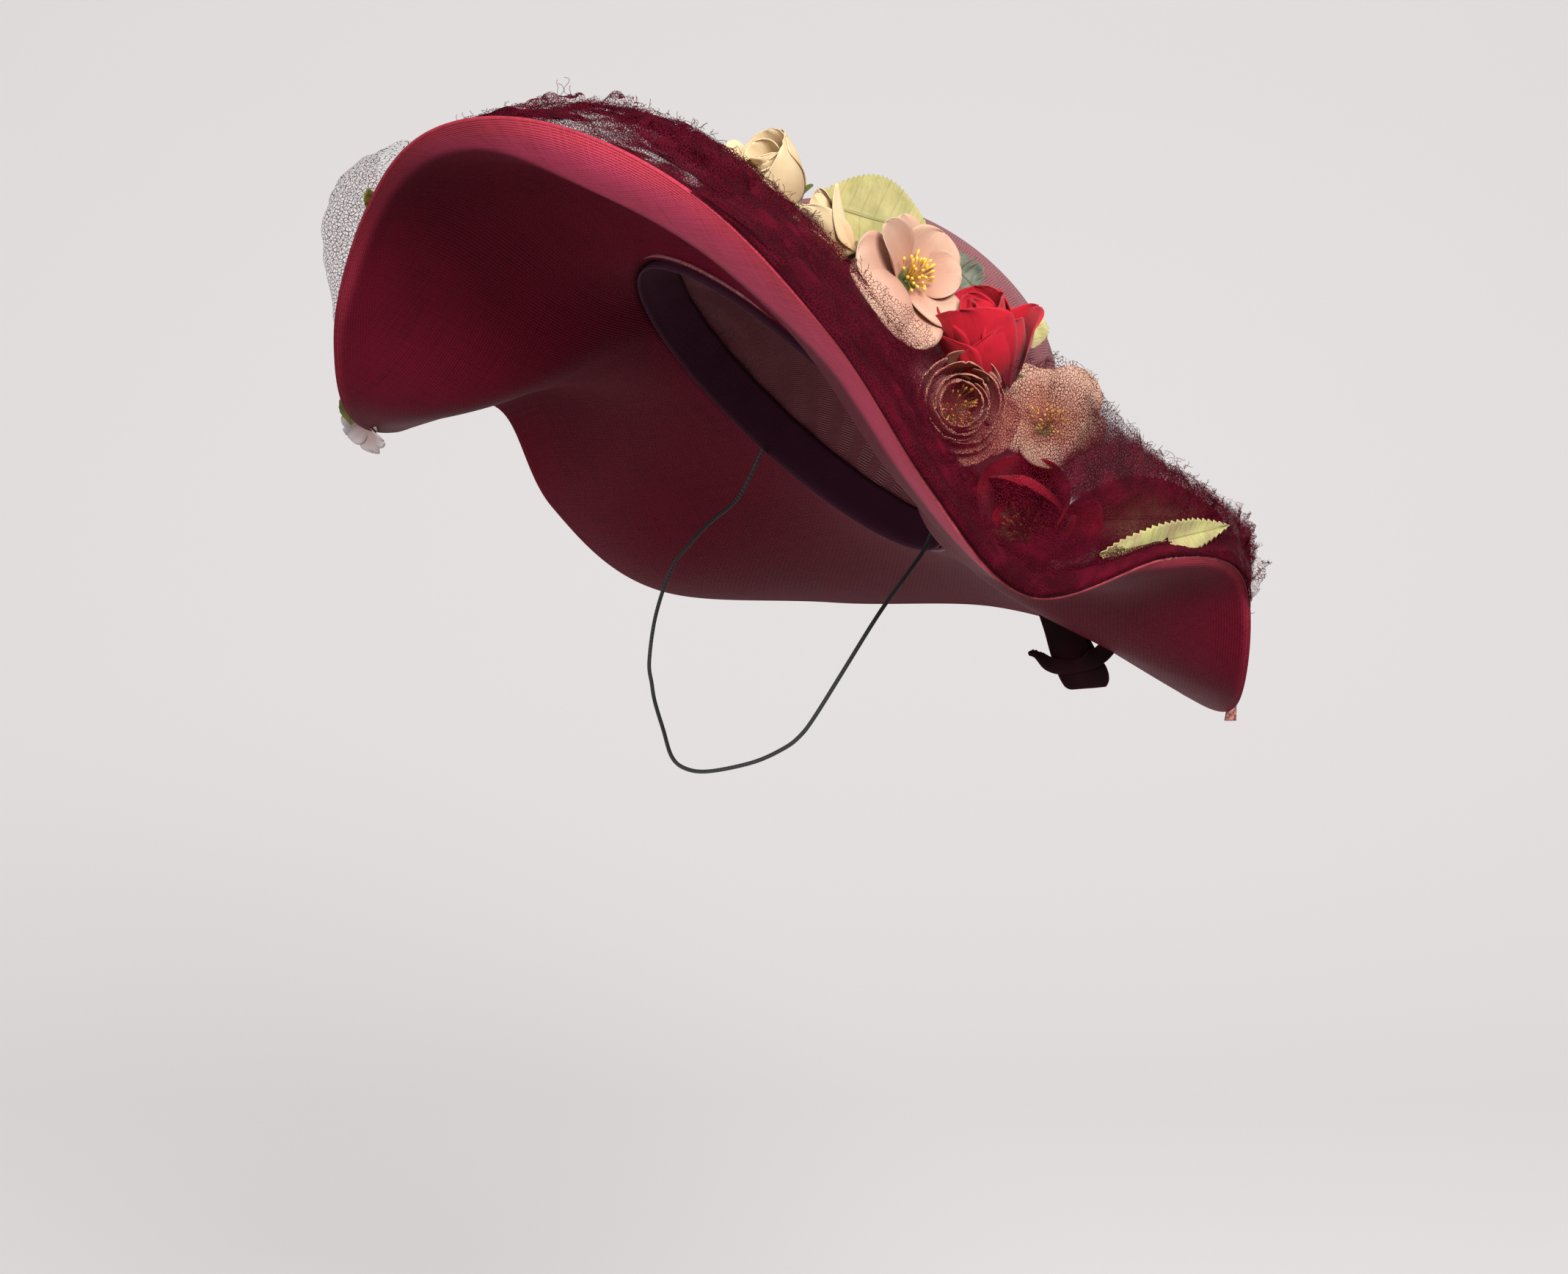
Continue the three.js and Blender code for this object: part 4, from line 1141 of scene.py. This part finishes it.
def netGrid(sections, u, v):
    # Cloth from its foot on the brim over its crest to its inner end
    angle, foot, *ends = np.moveaxis(curveThrough(sections, u), -1, 0)
    start = overBrim(angle, foot, np.full(angle.shape, 0.2))
    crest = hatPoint(angle, ends[0], ends[1])
    inner = hatPoint(angle, ends[2], ends[3])
    weights = ((1 - v) * (1 - 2 * v), 4 * v * (1 - v), v * (2 * v - 1))
    return sum(w[..., None] * p for w, p in zip(weights, (start, crest, inner)))


def flatLengths(grid):
    # Millimetres along both ways of a cloth, and the size it was cut to
    along = np.linalg.norm(np.diff(grid, axis=0), axis=-1)
    across = np.linalg.norm(np.diff(grid, axis=1), axis=-1)
    y = np.vstack([np.zeros(grid.shape[1]), np.cumsum(along, axis=0)])
    x = np.concatenate([np.zeros((grid.shape[0], 1)), np.cumsum(across, axis=1)], axis=1)
    return np.stack([x, y], -1), (x[:, -1].max() * toMetres, y[-1].max() * toMetres)


def gridArea(grid):
    a, b, c, d = grid[:-1, :-1], grid[:-1, 1:], grid[1:, 1:], grid[1:, :-1]
    halves = [np.cross(b - a, c - a), np.cross(c - a, d - a)]
    return sum(np.linalg.norm(half, axis=-1).sum() for half in halves) / 2 * toMetres ** 2


def makeCloth(name, grid, finish, gather, node=None, seed=0):
    # One single sheet; its flat coordinates start at a place of its own
    flat, size = flatLengths(grid)
    x, y = flat[..., 0], flat[..., 1]
    inside = np.minimum(np.minimum(x, x[:, -1:] - x), y[-1] - y)
    rows, columns = grid.shape[:2]
    row, column = np.meshgrid(np.arange(rows - 1), np.arange(columns - 1), indexing="ij")
    a = (row * columns + column).ravel()
    faces = np.stack([a, a + 1, a + 1 + columns, a + columns], 1)
    shape = Shape()
    gather = np.broadcast_to(gather, (rows, columns)).ravel()
    shape.add(grid.reshape(-1, 3), faces, (flat + seed * 37).reshape(-1, 2), gather=gather,
              inside=inside.ravel())
    made = shape.made(name, finish, "net")
    if node:
        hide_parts(node)
    area = gridArea(grid)
    size = (size[0], max(size[1], area / size[0]))
    max(area, 0.31 * size[0] * size[1])
    print(name, "cut", round(size[0], 3), "by", round(size[1], 3), "m")


def rumple(grid, amount):
    return grid + gridNormals(grid) * np.asarray(amount)[..., None]


def nearAngle(angle, low, high, soft):
    return smoothStep(angle, low - soft, low) * (1 - smoothStep(angle, high, high + soft))


# At angles round the brim: how far across the band the cloth is dense, and how far it reaches
netWidths = np.array([
    (-16, 0.12, 1.0), (2, 0.2, 1.0), (20, 0.45, 1.0), (38, 0.42, 0.9), (50, 0.30, 0.6), (56, 0.22, 0.5),
    (66, 0.17, 0.42), (74, 0.10, 0.36), (84, 0.05, 0.30), (96, 0.06, 0.32), (112, 0.07, 0.4),
    (124, 0.12, 0.8), (132, 0.28, 1.0), (146, 0.30, 1.0),
])
swathes = [
    # name, share of the reach, fold, lift, gather, seed
    ("net_swathe", 1.0, 2.0, 0.2, 0.72, 3),
    ("net_swathe_over", 0.62, 2.6, 0.9, 0.95, 5),
    ("net_swathe_rolled", 0.46, 3.0, 2.0, 1.0, 9),
]


def makeSwathes():
    # Ridges run along the brim, so the cloth looks drawn together
    finish = netFinish("tulle", tulle["cell"], tulle["thread"])
    u, v = np.meshgrid(np.linspace(0, 1, 460), np.linspace(0, 1, 46))
    angle = curveThrough(netBand, u)[..., 0]
    limit = np.interp(angle, netWidths[:, 0], netWidths[:, 1])
    reach = np.interp(angle, netWidths[:, 0], netWidths[:, 2])
    front = 1 - smoothStep(angle, 14, 28)
    for name, share, fold, lift, dense, seed in swathes:
        draw = np.random.default_rng(seed)
        width = reach if share == 1 else np.minimum(limit * share * 2.4, reach)
        across = np.clip(v * (width + 0.05 * waves(u * 30, v * 0, draw, 8, 0.5, 6)), 0, 1.1)
        wander = waves(u * 6, v, draw, 5, 0.6, 2.5)
        ridge = np.sin((across * 8 + wander * 0.6) * 2 * math.pi)
        loose = waves(u * 20, v * 3, draw, 9, 0.7, 5)
        free = smoothStep(v, 0.0, 0.35) * (0.4 + 0.6 * smoothStep(limit, 0.03, 0.2))
        amount = (fold * (0.5 * ridge + 0.8 * loose) + lift + 1) * free
        patch = waves(u * 14, v * 2.2, draw, 7, 0.7, 4)
        gather = dense * (1 - smoothStep(across, limit * 0.7, limit * 1.5 + 0.03)) + 0.18
        gather = gather + (0.16 + 0.8 * front) * patch - 0.60 * front
        window = smoothStep(across, 0.03, 0.09) * (1 - smoothStep(across, 0.24, 0.34))
        sheer = nearAngle(angle, 18, 30, 6) * window
        gather = gather - 1.1 * sheer * smoothStep(patch, -0.5, 0.2)
        makeCloth(
            name, rumple(netGrid(netBand, u, across), -amount), finish, np.clip(gather, 0, 1),
            "net_band" if share == 1 else None, seed=seed,
        )


makeSwathes()
print("net swathes made")


# A sheer veil of the same net, drawn over the lower flowers. It is laid against whatever
# is nearest in front of it, then pulled tight. Spots are in pixels of the 2137 wide picture.
focal = camera["lens"] / camera["sensor"] * picture["wide"]
veil = {
    "angles": (34, 44, 52, 60, 68, 76, 84, 92, 100, 108, 116, 124, 131),
    "inner": [
        (1000, 262), (1094, 296), (1188, 372), (1250, 424), (1282, 472), (1330, 528), (1388, 490),
        (1470, 490), (1522, 556), (1562, 602), (1606, 640), (1656, 672), (1702, 706),
    ],
    "foot": 1.0, "columns": 300, "rows": 90, "clear": 1.6, "cell": 6, "pulls": 400,
    # how gathered it is at angles round the brim, then where it differs:
    # place, width and height, change
    "gather": [
        (34, 0.12), (56, 0.25), (66, 0.46), (76, 0.52), (84, 0.6), (92, 0.68), (98, 0.8), (131, 0.84),
    ],
    "spots": [
        (1420, 684, 76, 58, -0.62), (1436, 556, 60, 44, -0.16), (1556, 702, 66, 27, -0.46),
        (1455, 758, 66, 26, 0.7), (1518, 632, 52, 24, 0.45), (1464, 656, 24, 30, 0.8),
        (1490, 662, 28, 18, 0.7),
    ],
}


def pictureOf(points):
    offset = fromHat(points) - np.array(camera["place"]) * 1000
    depth = offset @ lookAlong
    x = picture["wide"] / 2 + focal * (offset @ lookRight) / depth
    y = picture["high"] / 2 - focal * (offset @ lookUp) / depth
    return x, y, depth


def fromPicture(x, y, depth):
    right = (x - picture["wide"] / 2) / focal * depth
    up = (picture["high"] / 2 - y) / focal * depth
    place = right[..., None] * lookRight + up[..., None] * lookUp + depth[..., None] * lookAlong
    return (place + np.array(camera["place"]) * 1000) @ hatTurn


def nearestDepth(clouds, x, y, cell):
    # Least depth of the points in each square of the picture and its neighbours
    squares, farAway = 400, 3000.0
    px, py, depth = pictureOf(np.concatenate(clouds))
    table = np.full((squares, squares), farAway)
    column, row = (px // cell).astype(int), (py // cell).astype(int)
    for right in (-1, 0, 1):
        for down in (-1, 0, 1):
            place = (np.clip(row + down, 0, squares - 1), np.clip(column + right, 0, squares - 1))
            np.minimum.at(table, place, depth)
    return table[(y // cell).astype(int), (x // cell).astype(int)]


def makeVeil():
    draw = np.random.default_rng(17)
    a, b = np.meshgrid(np.linspace(0, 1, veil["columns"]), np.linspace(0, 1, veil["rows"]))
    angle = curveThrough(np.array(veil["angles"], float)[:, None], a)[..., 0]
    lower = overBrim(angle, veil["foot"], np.full(angle.shape, 0.1))
    lowX, lowY, lowDepth = pictureOf(lower)
    inner = curveThrough(veil["inner"], a)
    raggedX = 5 * waves(a * 22, a * 0, draw, 8, 0.5, 5)
    raggedY = 5 * waves(a * 22, a * 0, draw, 8, 0.5, 5)
    x = lowX + (inner[..., 0] + raggedX - lowX) * b
    y = lowY + (inner[..., 1] + raggedY - lowY) * b
    around, share = np.meshgrid(np.linspace(20, 140, 240), np.linspace(0, 1, 60))
    clouds = trimmings + [overBrim(around, share, np.full(around.shape, 1.0)).reshape(-1, 3)]
    near = nearestDepth(clouds, x, y, veil["cell"]) - veil["clear"]
    depth = np.minimum(near, lowDepth + 60 * b)
    for _ in range(veil["pulls"]):
        spread = depth.copy()
        spread[1:-1] = (depth[:-2] + depth[2:]) / 2
        spread[-1] = depth[-2]
        spread[:, 1:-1] = spread[:, 1:-1] * 0.5 + (depth[:, :-2] + depth[:, 2:]) / 4
        depth = np.minimum(spread, near)
        depth[0] = lowDepth[0]
    depth = depth - np.abs(1.5 * waves(a * 12, b * 3, draw, 10, 0.6, 5)) * smoothStep(b, 0, 0.2)
    grid = fromPicture(x, y, depth)
    finish = netFinish("tulle_sheer", tulle["cell"], tulle["sheerThread"])
    gather = np.interp(angle, *np.transpose(veil["gather"]))
    for spotX, spotY, wide, high, change in veil["spots"]:
        gather = gather + change * np.exp(-((x - spotX) / wide) ** 2 - ((y - spotY) / high) ** 2)
    gather = gather - 0.35 * smoothStep(b, 0.86, 0.98) + 0.6 * (1 - smoothStep(b, 0.06, 0.24))
    gather = gather + 0.08 * waves(a * 11, b * 2.6, draw, 7, 0.6, 4)
    gather = gather + 0.5 * (1 - smoothStep(a, 0.0, 0.25)) * (1 - b)
    makeCloth(
        "net_veil", grid, finish, np.clip(gather, 0, 1),
        seed=5,
    )
    return grid


veilGrid = makeVeil()


# Ragged frills of sheer net that stand up along the crest, from one angle to another,
# with how far they stand up
frills = [
    ("net_frill_front", 6, 36, 5, 0.35, 31), ("net_frill_back", 112, 139, 10, 0.22, 33),
    ("net_frill_tip", 126, 141, 12, 0.12, 37),
]


def makeFrills():
    finish = netFinish("tulle_frill", tulle["cell"], tulle["sheerThread"])
    for name, low, high, tall, dense, seed in frills:
        draw = np.random.default_rng(seed)
        a, b = np.meshgrid(np.linspace(0, 1, 150), np.linspace(0, 1, 34))
        own = low + (high - low) * a
        u = np.interp(own, netBand[:, 0], np.linspace(0, 1, len(netBand)))
        grid = netGrid(netBand, u, 0.12 + 0.22 * b)
        up = unit(np.stack([grid[..., 0] * 0.5, grid[..., 1] * 0.5, np.full(a.shape, 120.0)], -1))
        taper = np.sin(np.clip(a, 0.02, 0.98) * math.pi) ** 0.5
        height = tall * (0.75 + 0.45 * waves(a * 7, a * 0, draw, 5, 0.6, 3)) * taper
        grid = grid + up * (height * b)[..., None]
        grid = rumple(grid, 3.2 * waves(a * 9, b * 1.5, draw, 10, 0.6, 5) * smoothStep(b, 0, 0.5))
        gather = np.clip(dense + 0.6 * waves(a * 8, b * 2, draw, 7, 0.7, 4), 0, 1)
        makeCloth(name, grid, finish, gather, seed=seed)


makeFrills()


def makePuff():
    finish = netFinish("tulle_puff", tulle["puffCell"], tulle["puffThread"])
    draw = np.random.default_rng(8)
    u, v = np.meshgrid(np.linspace(0, 1, 160), np.linspace(0, 1, 50))
    grid = netGrid(netPuff, u, v)
    amount = 2.0 * waves(u * 5, v * 2, draw, 9, 0.6, 4) * smoothStep(v, 0.02, 0.3)
    gather = np.clip(0.1 + 0.25 * waves(u * 5, v * 2, draw, 6, 0.6, 4), 0, 1)
    makeCloth("net_puff_cloth", rumple(grid, amount), finish, gather,
              "net_puff", seed=9)


makePuff()
print("net made")


# Loose threads and sprigs along the ragged edges of the net
def addThread(shape, start, aim, length, curl, draw, thick=0.11):
    count = max(int(length / 0.7), 6)
    side = unit(np.cross(aim, draw.normal(0, 1, 3)))
    other = np.cross(aim, side)
    t = np.linspace(0, 1, count)
    bend = np.cumsum(draw.normal(0, 0.55, (count, 2)), axis=0) * 0.7
    loop = 1.1 * np.sin(t * length / 1.5 + draw.uniform(0, 6))
    path = start + t[:, None] * length * aim + ((bend[:, :1] * t[:, None] + loop[:, None]) * side
                                                + bend[:, 1:] * t[:, None] * other) * curl
    shape.addTube(path, thick, 3)


veilThreads = 200
tufts = [
    # angle on the brim, from where to where across the net, spread, how many threads, how long
    (20, 0.2, 0.7, 7, 120, 3.2), (30, 0.3, 0.9, 6, 110, 3.5), (9, 0.4, 0.5, 0.8, 5, 12),
    (4, 0.2, 0.6, 6, 40, 3), (124, 0.3, 0.8, 7, 110, 4.5), (134, 0.2, 0.6, 3, 60, 7),
    (140, 0.1, 0.6, 3, 20, 6), (42, 0.5, 0.9, 6, 100, 4),
]


def makeThreads():
    finish = Finish("net_thread", Roughness=0.8, Specular_IOR_Level=0.15)
    cloud = finish.noise(finish.place(), 60, 2)
    finish.set("Base Color", finish.mixed(cloud, tulle["dark"], tulle["lit"]))
    draw = np.random.default_rng(23)
    shape = Shape()
    upward = cameraFrame()[1]
    edge = veilGrid[-1]
    for _ in range(veilThreads):
        spot = int(draw.integers(len(edge) // 2, len(edge) - 2))
        aim = unit(upward + draw.normal(0, 1.1, 3))
        start = edge[spot] - upward * draw.uniform(1, 5)
        addThread(shape, start, aim, draw.uniform(1.5, 3.8), 1.2, draw)
    for angle, low, high, spread, count, long in tufts:
        for _ in range(count):
            own = np.clip(angle + draw.normal(0, spread), netBand[0, 0], netBand[-1, 0])
            u = np.interp(own, netBand[:, 0], np.linspace(0, 1, len(netBand)))
            start = netGrid(netBand, np.array(u), np.array(draw.uniform(low, high)))
            up = unit(np.array([start[0] * 0.6, start[1] * 0.6, 110.0]))
            aim = unit(up + draw.normal(0, 0.9, 3))
            addThread(shape, start, aim, long * draw.uniform(0.3, 1.0), 1.4, draw)
    shape.made("net_threads", finish, "net")


makeThreads()
print("net threads made")


# Velvet bow under the back brim, in an upright plane that faces the camera.
# Across and down from its seat for both edges of each ribbon, and how far it stands behind.
bow = {
    "seat": (81.5, 88.5, -97.5), "angle": 52.5, "thick": 0.9,
    # edge is painted sheen along the ribbon's edges
    "dark": (0.006, 0.0008, 0.0015), "lit": (0.016, 0.002, 0.004), "edge": (0.055, 0.004, 0.010),
    "sheen": (0.35, 0.02, 0.05, 1),
}
leastCloth = 0.0105  # metres, the least width taken for a ribbon; metres, as a declared sheet is at least a centimetre wide
strapPlaces = [
    # left edge, right edge, behind
    (-16, -15, 1, -13, 1.0), (-13.7, -7.9, 3.9, -3.6, 0.8), (-10.9, 0.4, 6.8, 3.0, 0.4),
    (-8.3, 9.6, 9.4, 9.2, 0.2), (-6.0, 16.0, 14.6, 13.4, 0.0), (-4.2, 20.5, 17.0, 17.5, -0.4),
    (-1.6, 24.6, 17.6, 21.5, -0.2), (1.6, 26.0, 16.6, 24.3, 1.0), (1.2, 25.2, 16.0, 23.6, 2.4),
    (-2.0, 17.0, 14.0, 14.0, 3.2), (-6.0, 4.0, 8.0, 2.0, 3.0),
]
tailPlaces = [
    (-18.2, 9.0, -17.6, 9.7, -2.2), (-15.6, 7.8, -15.0, 10.8, -2.6), (-12.0, 8.8, -11.5, 15.2, -3.0),
    (-8.3, 10.7, -8.3, 17.2, -3.2), (-4.1, 12.0, -4.5, 18.2, -3.2), (1.0, 12.2, 1.0, 17.9, -3.0),
    (5.0, 10.8, 7.1, 16.6, -2.8), (7.8, 8.4, 11.9, 14.9, -2.4), (9.8, 7.6, 15.7, 12.6, -2.0),
    (12.6, 5.6, 18.9, 9.4, -1.4), (17.0, 0.5, 23.0, 4.0, -0.6),
]


def velvetFinish():
    finish = Finish(
        "velvet", Roughness=0.85, Specular_IOR_Level=0.1, Sheen_Weight=0.35, Sheen_Roughness=0.4,
        Sheen_Tint=bow["sheen"],
    )
    nap = finish.noise(finish.place(), 900, 2)
    worn = finish.noise(finish.place(), 60, 3)
    # The ribbon's edges are painted a lighter burgundy as painted sheen
    rim = finish.between(finish.value("across"), 0.9, 1.0)
    color = finish.mixed(finish.between(worn, 0.4, 0.75), bow["dark"], bow["lit"])
    finish.set("Base Color", finish.mixed(rim * 0.8, color, bow["edge"]))
    finish.bump(nap, 0.5, 0.0005)
    return finish


def makeRibbon(name, places, finish, node, crease, frayed):
    rows, columns = 90, 19
    t = np.linspace(0, 1, rows)
    edge = curveThrough(places, t)
    s = np.linspace(0, 1, columns)[None, :]
    fray = frayed * np.random.default_rng(5).uniform(-1, 1, rows) * (1 - smoothStep(t, 0.1, 0.35))
    left, right = edge[:, 0:2].copy(), edge[:, 2:4]
    left[:, 1] += fray
    across = left[:, :1] + (right[:, :1] - left[:, :1]) * s
    down = left[:, 1:] + (right[:, 1:] - left[:, 1:]) * s
    behind = edge[:, 4:] - crease * np.sin(s * math.pi) + 0.5 * np.sin(t[:, None] * 9 + s * 4)
    turn = math.radians(bow["angle"])
    seat = np.array(bow["seat"])
    grid = seat + across[..., None] * [math.cos(turn), math.sin(turn), 0] \
        + behind[..., None] * [-math.sin(turn), math.cos(turn), 0] - down[..., None] * [0, 0, 1.0]
    shape = Shape()
    shape.addWall(grid, bow["thick"], across=np.abs(2 * s - 1), along=t[:, None])
    made = shape.made(name, finish, "velvet", hatFrame=False)
    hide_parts(node)
    length = np.linalg.norm(np.diff(grid[:, columns // 2], axis=0), axis=-1).sum() * toMetres
    area = gridArea(grid)
    width = max(np.linalg.norm(grid[:, -1] - grid[:, 0], axis=-1).max() * toMetres, leastCloth)
    length = max(length, area / width)


velvet = velvetFinish()
makeRibbon("velvet_loop", strapPlaces, velvet, "velvet_strap", 0.8, 0)
makeRibbon("velvet_end", tailPlaces, velvet, "velvet_tail", 1.2, 0.35)
print("velvet bow made")


# The straw curls over itself at the lowest corner of the back
roll = {
    "angle": 149.0, "starts": -0.6 * math.pi, "ends": 1.5 * math.pi, "radius": 2.9, "closing": 0.28,
    "length": 10.0, "thick": 0.8, "dark": (0.14, 0.03, 0.03), "lit": (0.40, 0.19, 0.16),
}


def makeRoll():
    finish = Finish("straw_back", Roughness=0.75, Specular_IOR_Level=0.1)
    cloud = finish.noise(finish.place(), 700, 3)
    patches = finish.between(cloud, 0.35, 0.65)
    finish.set("Base Color", finish.mixed(patches, roll["dark"], roll["lit"]))
    finish.bump(cloud, 0.6, 0.0006)
    right, up, near = cameraFrame()
    corner = brimPoint(np.array(roll["angle"]), np.array(1.0)) + right * 1.2 - up * 0.5
    turn = np.linspace(roll["starts"], roll["ends"], 30)[None, :]
    t = np.linspace(0, 1, 12)[:, None]
    radius = (roll["radius"] - roll["closing"] * (turn + 2)) * (0.75 + 0.45 * t)
    grid = corner + (radius * np.cos(turn))[..., None] * right + (radius * np.sin(turn))[..., None] * near \
        + ((t - 0.6) * roll["length"])[..., None] * unit(-up - right * 0.12)
    shape = Shape()
    shape.addWall(grid, roll["thick"])
    shape.made("straw_curl", finish, "brim_straw")


makeRoll()


# Stage

# Metres: the floor's height, the wall behind, the bend between them, and how far each goes
stage = {
    "low": -0.75, "back": 1.9, "bend": 0.8, "near": -3.0, "top": 4.0, "half": 5,
    "color": (0.36, 0.345, 0.34, 1), "glow": (0.90, 0.865, 0.86, 1), "glowStrength": 0.4,
    "sky": (0.96, 0.96, 1.0, 1), "skyStrength": 0.24,
}


def addStage():
    finish = Finish(
        "pale_floor", Roughness=0.9, Base_Color=stage["color"], Emission_Color=stage["glow"],
        Emission_Strength=stage["glowStrength"],
    )
    low, back, bend = stage["low"], stage["back"], stage["bend"]
    profile = [(stage["near"], low), (back - bend, low)]
    for step in range(1, 13):
        turn = math.radians(step * 7.5)
        profile.append((back - bend + bend * math.sin(turn), low + bend * (1 - math.cos(turn))))
    profile.append((back, stage["top"]))
    ahead, side = Vector((lookAlong[0], lookAlong[1], 0)).normalized(), Vector(lookRight)
    points, faces = [], []
    for away, height in profile:
        for reach in (-stage["half"], stage["half"]):
            points.append(ahead * away + side * reach + Vector((0, 0, height)))
    for step in range(len(profile) - 1):
        a = step * 2
        faces.append((a, a + 1, a + 3, a + 2))
    mesh = bpy.data.meshes.new("floor")
    mesh.from_pydata(points, [], faces)
    mesh.polygons.foreach_set("use_smooth", [True] * len(faces))
    mesh.materials.append(finish.material)
    floor = bpy.data.objects.new("floor", mesh)
    bpy.context.scene.collection.objects.link(floor)
    floor.visible_diffuse = False


lights = [
    # name, right, up and towards the camera from the hat in metres, size, watts
    ("key", 0.7, 1.0, 2.0, 1.1, 108),
    ("fill", -1.5, 0.0, 1.5, 1.8, 22),
    ("top", 0.2, 2.2, -0.2, 1.6, 24),
]


def addLights():
    for name, right, up, near, size, watts in lights:
        data = bpy.data.lights.new(name, "AREA")
        data.shape = "DISK"
        data.size = size
        data.energy = watts
        lamp = bpy.data.objects.new(name, data)
        place = lookRight * right + np.array([0, 0, 1.0]) * up - lookAlong * near
        lamp.location = place
        lamp.rotation_mode = "QUATERNION"
        lamp.rotation_quaternion = Vector(-place).to_track_quat("-Z", "Y")
        bpy.context.scene.collection.objects.link(lamp)
    world = bpy.data.worlds.new("studio")
    world.use_nodes = True
    background = world.node_tree.nodes["Background"]
    background.inputs["Color"].default_value = stage["sky"]
    background.inputs["Strength"].default_value = stage["skyStrength"]
    bpy.context.scene.world = world
    bpy.context.scene.view_settings.view_transform = "Standard"


addStage()
addLights()

print("scene made")
